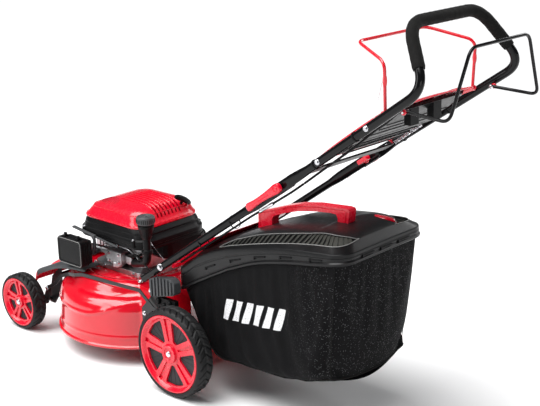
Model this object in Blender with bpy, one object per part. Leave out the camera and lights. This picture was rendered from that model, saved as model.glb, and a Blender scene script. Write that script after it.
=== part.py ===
"""Petrol rotary lawn mower with a rear grass catcher, as separate parts.

Metres, +Z up, +Y towards the operator, +X the mower's left side. Shapes are drawn in the mower's
own coordinates, whose zero is on the ground below the rear wheels, half way between them.
"""
from math import atan2, cos, pi, radians, sin, tan

import bmesh
import bpy
from mathutils import Matrix, Vector

# ---- driving dimensions -------------------------------------------------------------------------
REAR_AXLE_Y = -0.02305         # puts the origin below the middle of the machine
WHEELBASE = 0.731
REAR_RADIUS = 0.127
FRONT_RADIUS = 0.0889
REAR_OUTER_X = 0.260           # outer face of the rear tyres
FRONT_OUTER_X = 0.231
REAR_WIDTH = 0.057
FRONT_WIDTH = 0.050
WINDOW_TURN = 62               # degrees from straight back to the middle of a rim's first window
GAP = 0.0004                   # left between pieces that rest on each other

CRANK_LENGTH = 0.045           # axle crank, from its pivot to the wheel centre
CRANK_ANGLE = radians(175)
LINK_ARM = 0.049               # crank lever, from the pivot to the link rod's pin
LINK_ANGLE = radians(68)
SHAFT = 0.006                  # radius of the axle rods

DECK_Y = -0.400                # centre of the blade circle
DECK_RADIUS = 0.252
DECK_RIM_Z = 0.055
DECK_STEEL = 0.0025
DECK_TOP_Z = 0.236
DECK_REAR_Y = -0.055           # straight rear edge of the skirt
DECK_REAR_X = 0.168            # straight sides behind the blade circle
CHUTE_X = 0.122                # half width of the discharge tunnel
CHUTE_FRONT_Y = -0.215
CHUTE_REAR_Y = -0.048
SEAM_Z = 0.396                 # where the red engine cover meets the fan housing
FLYWHEEL_Z = 0.3425
RECOIL_EXIT = (-0.0555, -0.262, 0.4325)   # where the starter rope leaves the cover
RECOIL_PULL = Vector((0.0, 0.55, 0.835)).normalized()    # up and back, towards the operator
FILLER = (0.1385, -0.200)      # upright oil filler
FUEL_NECK = (-0.262, 0.318)
FLAP_HINGE = (-0.092, 0.330)

HANDLE_SLOPE = radians(34.27)
HANDLE_Z = 0.404               # height of the side tubes' centre line above the rear axle
HANDLE_X = 0.172
TUBE = 0.011
FOLD_Y = 0.360                 # clamp bolt that the upper handle folds about
FOAM = 0.0155
WIRE = 0.004
WIRE_BEND = 0.022
BAIL_X = 0.1740
BRAKE_PIVOT = (0.677, 0.876)
DRIVE_PIVOT = (0.733, 0.887)
CAM_X = 0.1935
CABLE_X = 0.1535
CABLE = 0.003                  # radius of the control cable's sleeve
CABLE_CORE = 0.0010            # radius of the bare wire beyond the sleeve
PLASTIC = 0.003                # wall of the moulded covers

WHEEL_SIDES = 32
ROUND = 24                     # sides of the larger round pieces
SMALL_ROUND = 12

COLOURS = {
    "red_steel": ((0.62, 0.012, 0.03), 0.22, 0.1),
    "red_plastic": ((0.66, 0.015, 0.04), 0.32, 0.0),
    "black_plastic": ((0.018, 0.018, 0.02), 0.5, 0.0),
    "grey_plastic": ((0.075, 0.08, 0.085), 0.6, 0.0),
    "black_tube": ((0.012, 0.012, 0.013), 0.2, 0.3),
    "tyre_rubber": ((0.02, 0.02, 0.02), 0.8, 0.0),
    "foam": ((0.02, 0.019, 0.018), 0.95, 0.0),
    "cast_aluminium": ((0.6, 0.6, 0.61), 0.42, 1.0),
    "bright_steel": ((0.65, 0.65, 0.66), 0.3, 1.0),
    "dark_steel": ((0.05, 0.05, 0.055), 0.45, 0.8),
    "bag_fabric": ((0.012, 0.012, 0.014), 0.9, 0.0),
    "filter_foam": ((0.35, 0.33, 0.28), 0.95, 0.0),
}


# ---- scene and parents --------------------------------------------------------------------------
def clear_scene():
    for obj in list(bpy.data.objects):
        bpy.data.objects.remove(obj, do_unlink=True)


def empty(name, location=(0, 0, 0), parent=None):
    obj = bpy.data.objects.new(name, None)
    obj.location = location
    obj.parent = parent
    bpy.context.scene.collection.objects.link(obj)
    return obj


def get_material(slot):
    if slot in bpy.data.materials:
        return bpy.data.materials[slot]
    colour, roughness, metallic = COLOURS[slot]
    made = bpy.data.materials.new(slot)
    made.use_nodes = True
    shader = made.node_tree.nodes["Principled BSDF"]
    shader.inputs["Base Color"].default_value = (*colour, 1.0)
    shader.inputs["Roughness"].default_value = roughness
    shader.inputs["Metallic"].default_value = metallic
    return made


def place(name, mesh, slot, body):
    """Add a mesh drawn in the mower's coordinates, parented to its body's empty."""
    obj = bpy.data.objects.new(name, mesh)
    mesh.materials.append(get_material(slot))
    mesh.shade_smooth()
    mesh.set_sharp_from_angle(angle=radians(35))
    obj.parent = body
    if body != MOWER:
        obj.location = -body.location
    bpy.context.scene.collection.objects.link(obj)
    return obj


def cut(target, cutter, solver="EXACT"):
    """Take the cutter out of the target; the cutter itself is only a guide."""
    boolean(target, cutter, "DIFFERENCE", solver)


def weld(target, *others):
    """Join other closed shapes to the target as one body."""
    for other in others:
        boolean(target, other, "UNION")


def boolean(target, other, operation, solver="EXACT"):
    other.hide_render = True
    other.display_type = "WIRE"
    modifier = target.modifiers.new(operation.title(), "BOOLEAN")
    modifier.operation = operation
    modifier.solver = solver
    modifier.object = other


# ---- shapes -------------------------------------------------------------------------------------
def face_outwards(work):
    bmesh.ops.recalc_face_normals(work, faces=work.faces)
    if work.calc_volume(signed=True) < 0:
        bmesh.ops.reverse_faces(work, faces=work.faces)


def loft_mesh(name, rings, closed=False):
    """Skin a list of rings with equal point counts; closed joins the last ring to the first."""
    mesh = bpy.data.meshes.new(name)
    work = bmesh.new()
    rows = [[work.verts.new(point) for point in ring] for ring in rings]
    count = len(rows[0])
    pairs = list(zip(rows, rows[1:]))
    if closed:
        pairs.append((rows[-1], rows[0]))
    for row, following in pairs:
        for i in range(count):
            j = (i + 1) % count
            work.faces.new((row[i], row[j], following[j], following[i]))
    if not closed:
        work.faces.new(rows[0])
        work.faces.new(rows[-1])
    face_outwards(work)
    work.to_mesh(mesh)
    work.free()
    return mesh


def loft(name, rings, slot, body, closed=False):
    return place(name, loft_mesh(name, rings, closed), slot, body)


def lathe(name, profile, axis, centre, slot, body, sides=ROUND, closed=False):
    """Turn (radius, distance) pairs about an axis; a flat facet faces straight down."""
    turn = {"X": Matrix.Rotation(pi / 2, 3, "Y"), "Y": Matrix.Rotation(-pi / 2, 3, "X"),
            "Z": Matrix.Identity(3)}[axis]
    grow = 1 / cos(pi / sides)
    rings = []
    for radius, along in profile:
        ring = []
        for i in range(sides):
            angle = 2 * pi * (i + 0.5) / sides
            local = Vector((radius * grow * cos(angle), radius * grow * sin(angle), along))
            ring.append(Vector(centre) + turn @ local)
        rings.append(ring)
    return loft(name, rings, slot, body, closed)


def disc(name, axis, centre, radius, low, high, slot, body, sides=ROUND):
    return lathe(name, [(radius, low), (radius, high)], axis, centre, slot, body, sides)


def prism(name, outline, axis, low, high, slot, body, bevel=0.0):
    """Extrude an outline along X (points are y, z), Y (x, z) or Z (x, y)."""
    def lift(point, along):
        a, b = point
        return {"X": (along, a, b), "Y": (a, along, b), "Z": (a, b, along)}[axis]
    rings = [[lift(point, low) for point in outline], [lift(point, high) for point in outline]]
    made = loft(name, rings, slot, body)
    if bevel:
        soften(made, bevel)
    return made


def block(name, low, high, slot, body, bevel=0.0):
    outline = [(low[0], low[1]), (high[0], low[1]), (high[0], high[1]), (low[0], high[1])]
    return prism(name, outline, "Z", low[2], high[2], slot, body, bevel)


def soften(obj, width, segments=1):
    modifier = obj.modifiers.new("Bevel", "BEVEL")
    modifier.width = width
    modifier.segments = segments
    modifier.limit_method = "ANGLE"
    modifier.angle_limit = radians(40)


def arc(centre, radius, start, end, steps):
    """Points on a circle in a plane, angles in degrees."""
    points = []
    for i in range(steps + 1):
        angle = radians(start + (end - start) * i / steps)
        points.append((centre[0] + radius * cos(angle), centre[1] + radius * sin(angle)))
    return points


def rounded(route, radius, steps=3):
    """Round the corners of a route of 3-D points."""
    route = [Vector(point) for point in route]
    points = [route[0]]
    for before, corner, after in zip(route, route[1:], route[2:]):
        reach = min(radius, 0.48 * (corner - before).length, 0.48 * (after - corner).length)
        first = corner + (before - corner).normalized() * reach
        last = corner + (after - corner).normalized() * reach
        for i in range(steps + 1):
            t = i / steps
            points.append((1 - t) ** 2 * first + 2 * t * (1 - t) * corner + t * t * last)
    return points + [route[-1]]


def sweep_rings(route, size, sides, first_side=Vector((1, 0, 0))):
    """Rings along a route; size is a radius, or gives (across, upright) half sizes for a point."""
    rings = []
    side = first_side
    for i, point in enumerate(route):
        before = route[max(i - 1, 0)]
        after = route[min(i + 1, len(route) - 1)]
        ahead = ((after - point).normalized() + (point - before).normalized()).normalized()
        side = (side - ahead * side.dot(ahead)).normalized()
        upright = ahead.cross(side)
        across, high = size(i) if callable(size) else (size, size)
        ring = []
        for k in range(sides):
            angle = 2 * pi * (k + 0.5) / sides
            ring.append(point + side * across * cos(angle) + upright * high * sin(angle))
        rings.append(ring)
    return rings


def rod(name, route, radius, slot, body, sides=8, first_side=Vector((1, 0, 0))):
    route = [Vector(point) for point in route]
    return loft(name, sweep_rings(route, radius, sides, first_side), slot, body)


def tube_z(y):
    """Height of the side tubes' centre line."""
    return HANDLE_Z + y * tan(HANDLE_SLOPE)


def on_tube(x, y, off=0.0):
    """A point beside the tube line, off metres square to it on its upper front side."""
    return Vector((x, y - off * sin(HANDLE_SLOPE), tube_z(y) + off * cos(HANDLE_SLOPE)))


# ---- wheels -------------------------------------------------------------------------------------
def wheel(side, name, axle, radius, outer_x, width):
    """Tyre and five-spoke rim on one spinning body."""
    sign = 1 if side == "left" else -1
    centre = Vector((0, *axle))
    spin = empty(f"{name}_{side}_spin", centre, MOWER)
    out = sign * outer_x
    inn = out - sign * width
    rim_radius = 0.88 * radius
    hub = 0.2 * radius
    bead = radius * 0.9            # where the tyre's sidewall meets the rim
    shoulder = radius * 0.97

    def x(depth):
        return out - sign * depth

    tread = 0.2 * width
    tyre = [(radius, x(tread)), (radius, x(width - tread)), (shoulder, x(width - 0.003)), (bead, inn),
            (rim_radius + GAP, x(width - 0.001)), (rim_radius + GAP, x(0.001)), (bead, out),
            (shoulder, x(0.003))]
    lathe(f"{name}_{side}_tyre", tyre, "X", centre, "tyre_rubber", spin, WHEEL_SIDES, closed=True)

    bore = SHAFT + GAP
    profile = [(hub, x(0.002)), (hub, x(0.012)), (rim_radius - 0.010, x(0.010)),
               (rim_radius - 0.004, x(0.001)), (rim_radius, x(0.003)),
               (rim_radius, x(width - 0.004)), (rim_radius - 0.003, x(width - 0.004)),
               (rim_radius - 0.008, x(0.018)), (hub, x(0.020)), (hub, x(width - 0.006)),
               (bore, x(width - 0.006)), (bore, x(0.010))]
    rim = lathe(f"{name}_{side}_rim", profile, "X", centre, "red_plastic", spin, WHEEL_SIDES)
    inner = hub + 0.07 * radius
    outer = rim_radius - 0.013
    for k in range(5):
        middle = WINDOW_TURN + 72 * k
        window = arc(axle, outer, middle - 24, middle + 24, 3)
        window += arc(axle, inner, middle + 12, middle - 12, 1)
        low, high = sorted((x(0.0165), x(-0.01)))
        cut(rim, prism(f"window_{name}_{side}_{k}", window, "X", low, high, "dark_steel", spin))


def make_wheels():
    for side in ("left", "right"):
        wheel(side, "rear", (0.0, REAR_RADIUS), REAR_RADIUS, REAR_OUTER_X, REAR_WIDTH)
        wheel(side, "front", (-WHEELBASE, FRONT_RADIUS), FRONT_RADIUS, FRONT_OUTER_X, FRONT_WIDTH)


# ---- height adjustment --------------------------------------------------------------------------
def crank_pivot(axle):
    return (axle[0] - CRANK_LENGTH * cos(CRANK_ANGLE), axle[1] - CRANK_LENGTH * sin(CRANK_ANGLE))


def link_pin(pivot):
    return (pivot[0] + LINK_ARM * cos(LINK_ANGLE), pivot[1] + LINK_ARM * sin(LINK_ANGLE))


REAR_PIVOT = crank_pivot((0.0, REAR_RADIUS))
FRONT_PIVOT = crank_pivot((-WHEELBASE, FRONT_RADIUS))


def cranked_axle(name, axle, pivot, stub_x, crank_x, body):
    route = [(stub_x, *axle), (crank_x, *axle), (crank_x, *pivot), (-crank_x, *pivot),
             (-crank_x, *axle), (-stub_x, *axle)]
    smooth = rounded(route, 0.010, 2)
    return rod(name, smooth, SHAFT, "dark_steel", body, 8, Vector((0, 0, 1)))


def lever_outline(pivot, pin, wide):
    """A flat lever round both ends, in the y, z plane."""
    lean = atan2(pin[1] - pivot[1], pin[0] - pivot[0]) * 180 / pi
    return arc(pivot, wide, lean + 90, lean + 270, 5) + arc(pin, wide * 0.7, lean - 90, lean + 90, 4)


def strap_rings(route, half_wide, half_thick):
    """A flat bar standing on edge, along a route that runs mostly in y and z."""
    rings = []
    for i, point in enumerate(route):
        ahead = (route[min(i + 1, len(route) - 1)] - route[max(i - 1, 0)]).normalized()
        square = Vector((1, 0, 0)).cross(ahead).normalized() * half_wide
        thick = Vector((half_thick, 0, 0))
        rings.append([point + thick + square, point - thick + square, point - thick - square,
                      point + thick - square])
    return rings


def make_height_adjustment():
    """Two cranked axles turned together by a link bar, and the hand lever on the rear one."""
    rear = empty("rear_axle_pivot", (0, *REAR_PIVOT), MOWER)
    front = empty("front_axle_pivot", (0, *FRONT_PIVOT), MOWER)
    link = empty("link_pin", (0, *link_pin(REAR_PIVOT)), MOWER)
    rear_axle = cranked_axle("rear_axle", (0.0, REAR_RADIUS), REAR_PIVOT, REAR_OUTER_X - 0.0115,
                             0.193, rear)
    front_axle = cranked_axle("front_axle", (-WHEELBASE, FRONT_RADIUS), FRONT_PIVOT,
                              FRONT_OUTER_X - 0.0115, 0.1705, front)
    for name, axle, pivot, low, body in (("rear", rear_axle, REAR_PIVOT, 0.1780, rear),
                                         ("front", front_axle, FRONT_PIVOT, 0.1500, front)):
        outline = lever_outline(pivot, link_pin(pivot), 0.013)
        arm = prism(f"{name}_crank_lever", outline, "X", low, low + 0.004, "dark_steel", body)
        pin = disc(f"{name}_lever_pin", "X", (0, *link_pin(pivot)), 0.003, low + 0.002,
                   low + 0.0115, "dark_steel", body, 8)
        weld(axle, arm, pin)

    rear_pin = link_pin(REAR_PIVOT)
    front_pin = link_pin(FRONT_PIVOT)
    route = [Vector(point) for point in (
        (0.1855, rear_pin[0] + 0.007, rear_pin[1]), (0.1855, rear_pin[0] - 0.02, rear_pin[1] + 0.001),
        (0.1855, -0.132, 0.205), (0.1855, -0.190, 0.247), (0.1850, -0.300, 0.241),
        (0.1840, -0.450, 0.2340), (0.1838, -0.487, 0.2245), (0.1650, -0.540, 0.2100),
        (0.1575, -0.590, 0.190), (0.1575, -0.620, 0.160),
        (0.1575, front_pin[0] - 0.008, front_pin[1] - 0.004))]
    bar = loft("height_link_bar", strap_rings(route, 0.0055, 0.002), "dark_steel", link)
    for pin, low, radius in ((rear_pin, 0.17, 0.0034), (front_pin, 0.145, 0.0040)):
        cut(bar, disc(f"link_hole_{radius}", "X", (0, *pin), radius, low, low + 0.03, "dark_steel",
                      link, 8))

    lean = radians(72)
    along = Vector((0, cos(lean), sin(lean)))
    pivot = Vector((0, *REAR_PIVOT))
    inside = Vector((-0.1835, 0, 0))
    outside = Vector((-0.2130, 0, 0))
    tip = pivot + outside + along * 0.235
    route = [pivot + inside - along * 0.012, pivot + inside + along * 0.012,
             pivot + inside + along * 0.160, pivot + outside + along * 0.185, tip]
    lever = loft("height_lever", strap_rings(route, 0.009, 0.0015), "dark_steel", rear)
    square = Vector((0, -sin(lean), cos(lean)))
    grip = []
    for reach in (-0.004, 0.040):
        middle = tip + along * reach
        grip.append([middle + Vector((dx, 0, 0)) + square * side
                     for dx, side in ((0.009, 0.014), (-0.009, 0.014), (-0.009, -0.014),
                                      (0.009, -0.014))])
    weld(rear_axle, lever, loft("height_lever_grip", grip, "black_plastic", rear))


# ---- deck and chassis ---------------------------------------------------------------------------
def deck_reach(angle):
    """Distance from the blade centre to the skirt: a circle with a squared rear end."""
    across, back = cos(angle), sin(angle)
    if back <= 0:
        return DECK_RADIUS
    to_rear = (DECK_REAR_Y - DECK_Y) / back
    to_side = DECK_REAR_X / max(abs(across), 1e-6)
    return max(DECK_RADIUS, min(to_rear, to_side))


def deck_ring(z, inset, sides=48):
    ring = []
    for i in range(sides):
        angle = 2 * pi * (i + 0.5) / sides
        reach = deck_reach(angle) - inset
        ring.append((reach * cos(angle), DECK_Y + reach * sin(angle), z))
    return ring


def circle_ring(z, radius, sides=48):
    return [(radius * cos(2 * pi * (i + 0.5) / sides), DECK_Y + radius * sin(2 * pi * (i + 0.5) / sides),
             z) for i in range(sides)]


def make_deck():
    t = DECK_STEEL
    outer = [(DECK_RIM_Z, -0.005), (0.061, -0.005), (0.064, 0.0), (0.165, 0.006), (0.186, 0.014),
             (0.198, 0.030), (0.203, 0.048), (0.225, 0.062)]
    rings = [deck_ring(z, inset) for z, inset in outer]
    rings += [circle_ring(DECK_TOP_Z, 0.165), circle_ring(DECK_TOP_Z, 0.060)]
    rings += [circle_ring(DECK_TOP_Z - t, 0.060), circle_ring(DECK_TOP_Z - t, 0.165 - t)]
    rings += [deck_ring(z - t / 2, inset + t) for z, inset in reversed(outer[2:])]
    rings.append(deck_ring(DECK_RIM_Z, t))
    deck = loft("deck_shell", rings, "red_steel", MOWER, closed=True)
    window = block("chute_window", (-CHUTE_X - GAP, CHUTE_FRONT_Y, 0.150), (CHUTE_X + GAP, 0.02, 0.30),
                   "red_steel", MOWER)
    cut(deck, window, "MANIFOLD")


def make_chute():
    """Pressed tunnel that leads the clippings to the catcher: an open-bottomed channel."""
    def section(y, top, foot, grow):
        x = CHUTE_X - 0.0005 - grow
        return [(x, y, foot), (x, y, top - 0.012 - grow), (x - 0.012, y, top - grow),
                (-x + 0.012, y, top - grow), (-x, y, top - 0.012 - grow), (-x, y, foot)]

    stations = [(CHUTE_FRONT_Y + 0.001, 0.2385, 0.165), (-0.13, 0.268, 0.152), (CHUTE_REAR_Y, 0.292, 0.152)]
    rings = []
    for y, top, foot in stations:
        outer = section(y, top, foot, 0.0)
        inner = section(y, top, foot, DECK_STEEL)
        rings.append(outer + inner[::-1])
    loft("discharge_chute", rings, "red_steel", MOWER)


def make_rear_brackets():
    """Axle plates outside the deck, the right one with the lever's quadrant, and handle feet."""
    for side, sign in (("left", 1), ("right", -1)):
        low, high = sorted((sign * 0.1705, sign * 0.1755))
        outline = [(-0.195, 0.105), (-0.06, 0.085)]
        if side == "right":
            outline += arc(REAR_PIVOT, 0.016, 270, 340, 3)
            outline += arc(REAR_PIVOT, 0.150, 58, 124, 7)
        else:
            outline += arc(REAR_PIVOT, 0.016, 270, 430, 5)
            outline += [(-0.035, 0.200)]
        outline += [(-0.060, 0.238), (-0.150, 0.238), (-0.195, 0.190)]
        plate = prism(f"rear_bracket_{side}", outline, "X", low, high, "dark_steel", MOWER)
        cut(plate, disc(f"rear_bracket_hole_{side}", "X", (0, *REAR_PIVOT), SHAFT + GAP, low - 0.01,
                        high + 0.01, "dark_steel", MOWER, SMALL_ROUND))

        under = TUBE + 0.001
        top = [on_tube(0, y, -under) for y in (-0.147, -0.055)]
        outline = [(top[0].y, top[0].z), (top[1].y, top[1].z), (-0.052, 0.262), (-0.120, 0.2395),
                   (-0.148, 0.2395)]
        low, high = sorted((sign * 0.1595, sign * 0.2000))
        prism(f"handle_bracket_{side}", outline, "X", low, high, "grey_plastic", MOWER, 0.003)


def make_front_structure():
    """A carrier holds the front axle; a grey cover and a red nose close the front."""
    outline = [(-0.585, 0.205), (-0.640, 0.110), (-0.668, 0.072)]
    outline += arc(FRONT_PIVOT, 0.014, 250, 110, 5)
    outline += [(-0.672, 0.165), (-0.625, 0.205)]
    carrier = prism("front_axle_carrier", outline, "X", 0.1290, 0.1330, "dark_steel", MOWER)
    far_plate = prism("carrier_far_plate", outline, "X", -0.1330, -0.1290, "dark_steel", MOWER)
    cross = block("carrier_cross_plate", (-0.1300, -0.664, 0.152), (0.1300, -0.659, 0.170), "dark_steel",
                  MOWER)
    weld(carrier, far_plate, cross)
    cut(carrier, disc("carrier_hole", "X", (0, *FRONT_PIVOT), SHAFT + GAP, -0.15, 0.15, "dark_steel",
                      MOWER, SMALL_ROUND))
    cut(carrier, disc("carrier_relief", "Z", (0, DECK_Y, 0), DECK_RADIUS + 0.006, 0.0, 0.3,
                      "dark_steel", MOWER, 48))

    t = PLASTIC
    edge = 0.178
    rings = []
    for y, z, drop in ((-0.698, 0.160, 0.020), (-0.690, 0.186, 0.020), (-0.580, 0.236, 0.012),
                       (-0.446, 0.250, 0.010)):
        half = [(edge, z - drop), (edge, z - 0.006), (edge - 0.008, z)]
        inner = [(edge - 0.010, z - t), (edge - t, z - 0.006 - t / 2), (edge - t, z - drop)]
        rings.append([(x, y, h) for x, h in half] + [(-x, y, h) for x, h in reversed(half)]
                     + [(-x, y, h) for x, h in reversed(inner)] + [(x, y, h) for x, h in inner])
    cover = loft("front_cover", rings, "grey_plastic", MOWER)
    cut(cover, block("front_cover_gap", (-0.1160, -0.600, 0.20), (0.1160, -0.43, 0.27), "grey_plastic",
                     MOWER))

    rings = []
    for y, z in ((-0.703, 0.165), (-0.700, 0.192), (-0.640, 0.228), (-0.575, 0.256), (-0.550, 0.2575)):
        rings.append([(-0.116, y, z - 0.006), (-0.104, y, z), (0.104, y, z), (0.116, y, z - 0.006),
                      (0.116, y, z - 0.012), (0.102, y, z - 0.006), (-0.102, y, z - 0.006),
                      (-0.116, y, z - 0.012)])
    loft("nose_panel", rings, "red_plastic", MOWER)


# ---- engine -------------------------------------------------------------------------------------
ENGINE_Z = DECK_TOP_Z + GAP


def rounded_box_ring(x, y_front, y_rear, corner, z, count=8, shift=0.0):
    """A rounded rectangle at one height, with count steps around each corner."""
    middle = (y_front + y_rear) / 2
    half_y = (y_rear - y_front) / 2
    ring = []
    for quarter, (sx, sy) in enumerate(((1, 1), (-1, 1), (-1, -1), (1, -1))):
        centre = (sx * (x - corner) + shift, middle + sy * (half_y - corner))
        for px, py in arc(centre, corner, quarter * 90, quarter * 90 + 90, count):
            ring.append((px, py, z))
    return ring


def make_engine_block():
    base = loft("crankcase", [rounded_box_ring(0.105, -0.495, -0.262, 0.03, ENGINE_Z, 3),
                              rounded_box_ring(0.105, -0.495, -0.262, 0.03, 0.252, 3),
                              rounded_box_ring(0.080, -0.470, -0.285, 0.03, 0.258, 3),
                              rounded_box_ring(0.080, -0.470, -0.285, 0.03, 0.3145, 3)],
                "cast_aluminium", MOWER)
    cut(base, disc("crankcase_bore", "Z", (0, DECK_Y, 0), 0.0135, 0.2, 0.33, "dark_steel", MOWER,
                   SMALL_ROUND))
    fins = block("cylinder", (-0.046, -0.545, 0.262), (0.046, -0.4705, 0.334), "cast_aluminium", MOWER)
    for k in range(4):
        y = -0.487 - k * 0.014
        for side, low, high in (("right", -0.06, -0.032), ("left", 0.032, 0.06)):
            cut(fins, block(f"fin_gap_{side}_{k}", (low, y, 0.25), (high, y + 0.006, 0.36), "dark_steel",
                            MOWER))
    rod("spark_plug", [(0.0, -0.5455, 0.306), (0.0, -0.562, 0.306), (0.0, -0.578, 0.306)], 0.008,
        "black_plastic", MOWER, 8)
    muffler = block("muffler", (-0.190, -0.520, 0.262), (-0.130, -0.420, 0.330), "dark_steel", MOWER,
                    0.010)
    route = [(-0.140, -0.495, 0.300), (-0.09, -0.50, 0.302), (-0.0490, -0.512, 0.302)]
    weld(muffler, rod("exhaust_pipe", route, 0.009, "dark_steel", MOWER, 8))


def make_carburettor():
    """Carburettor with its bowl and intake pipe, the filter box and its clip-on cover."""
    body = block("carburettor", (0.0815, -0.410, 0.268), (0.118, -0.345, 0.305), "cast_aluminium",
                 MOWER)
    bowl = disc("float_bowl", "Z", (0.100, -0.378, 0), 0.017, 0.2595, 0.28, "cast_aluminium", MOWER,
                SMALL_ROUND)
    route = [(0.100, -0.400, 0.290), (0.102, -0.440, 0.295), (0.116, -0.474, 0.300),
             (0.136, -0.482, 0.302), (0.1535, -0.482, 0.302)]
    weld(body, bowl, rod("intake_pipe", route, 0.011, "black_plastic", MOWER, 10))
    block("air_filter_base", (0.154, -0.534, 0.266), (0.172, -0.430, 0.340), "black_plastic", MOWER,
          0.004)
    block("air_filter_element", (0.1724, -0.524, 0.275), (0.1860, -0.440, 0.331), "filter_foam", MOWER)
    cover = block("air_filter_cover", (0.1724, -0.538, 0.262), (0.2020, -0.426, 0.345),
                  "black_plastic", AIR_COVER, 0.005)
    cut(cover, block("air_cover_hollow", (0.160, -0.5325, 0.2675), (0.1975, -0.4315, 0.3395),
                     "black_plastic", AIR_COVER))


def make_shroud():
    """Fan housing: an open-bottomed shell round the flywheel, its top closed by the red cover."""
    t = 0.0025
    levels = [(0.338, 0.134, -0.532, -0.223), (0.364, 0.134, -0.532, -0.223),
              (0.366, 0.130, -0.528, -0.227), (SEAM_Z - 0.0005, 0.122, -0.518, -0.242)]
    outer = [rounded_box_ring(x, f, r, 0.052, z, 4) for z, x, f, r in levels]
    inner = [rounded_box_ring(x - t, f + t, r - t, 0.052 - t, z, 4) for z, x, f, r in reversed(levels)]
    loft("fan_housing", outer + inner, "black_plastic", MOWER, closed=True)
    levels = [rounded_box_ring(0.075, -0.345, -0.230, 0.030, 0.288, 3, -0.039),
              rounded_box_ring(0.089, -0.345, -0.224, 0.030, 0.300, 3, -0.039),
              rounded_box_ring(0.089, -0.345, -0.224, 0.030, 0.3375 - GAP, 3, -0.039)]
    tank = loft("fuel_tank", levels, "black_plastic", MOWER)
    cut(tank, block("tank_relief", (-0.0810, -0.36, 0.27), (0.0810, -0.2845, 0.35), "black_plastic",
                    MOWER))
    cut(tank, disc("tank_neck_hole", "X", (0, *FUEL_NECK), 0.0105, -0.14, -0.112, "black_plastic",
                   MOWER, SMALL_ROUND))
    cap = [(0.0095, -0.116), (0.0095, -0.1285), (0.019, -0.1285), (0.019, -0.1400)]
    lathe("fuel_cap", cap, "X", (0, *FUEL_NECK), "black_plastic", FUEL_CAP, 16)


def make_engine_cover():
    t = PLASTIC
    levels = [(SEAM_Z, 0.123, -0.520, -0.242, 0.052), (0.4118, 0.119, -0.510, -0.248, 0.050),
              (0.4310, 0.110, -0.490, -0.258, 0.046), (0.4450, 0.092, -0.460, -0.272, 0.040),
              (0.4520, 0.070, -0.432, -0.295, 0.034)]
    outer = [rounded_box_ring(x, f, r, c, z, 4) for z, x, f, r, c in levels]
    inner = [rounded_box_ring(x - t, f + t, r - t, c - t, z - (t if i else 0), 4)
             for i, (z, x, f, r, c) in enumerate(levels)]
    cover = loft("engine_cover", [outer[-1], *outer[-2::-1], *inner], "red_plastic", MOWER)
    for k in range(7):
        x = 0.045 - k * 0.0145
        cut(cover, block(f"cover_slot_{k}", (x - 0.0030, -0.282, 0.424), (x + 0.0030, -0.242, 0.445),
                         "black_plastic", MOWER))


def make_recoil_grip():
    """Starter handle, resting on the cover's rear right shoulder."""
    exit_point = Vector(RECOIL_EXIT)
    middle = exit_point + RECOIL_PULL * 0.022
    bar = Vector((0.0285, 0.001, 0.0165))
    sag = -RECOIL_PULL * 0.003
    handle = rod("recoil_grip", [middle - bar + sag, middle, middle + bar + sag], 0.0085,
                 "black_plastic", RECOIL, 8, Vector((0, 0, 1)))
    stem = rod("recoil_stem", [middle, exit_point + RECOIL_PULL * 0.009], 0.004, "black_plastic",
               RECOIL, 8)
    weld(handle, stem)


def make_oil_filler():
    base = Vector((*FILLER, 0.0))
    route = rounded([(0.0810, -0.300, 0.285), (0.1180, -0.290, 0.286), base + Vector((0, 0, 0.315)),
                     base + Vector((0, 0, 0.430))], 0.03, 3)
    pipe = rod("oil_filler_tube", route, 0.0135, "black_plastic", MOWER, 12, Vector((0, 1, 0)))
    cut(pipe, disc("oil_filler_bore", "Z", base, 0.0105, 0.39, 0.44, "black_plastic", MOWER,
                   SMALL_ROUND))
    cap = [(0.0035, 0.402), (0.0095, 0.404), (0.0095, 0.4304), (0.022, 0.4304), (0.0235, 0.436),
           (0.0235, 0.450), (0.020, 0.4585)]
    lathe("dipstick_cap", cap, "Z", base, "grey_plastic", DIPSTICK, 20)


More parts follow.
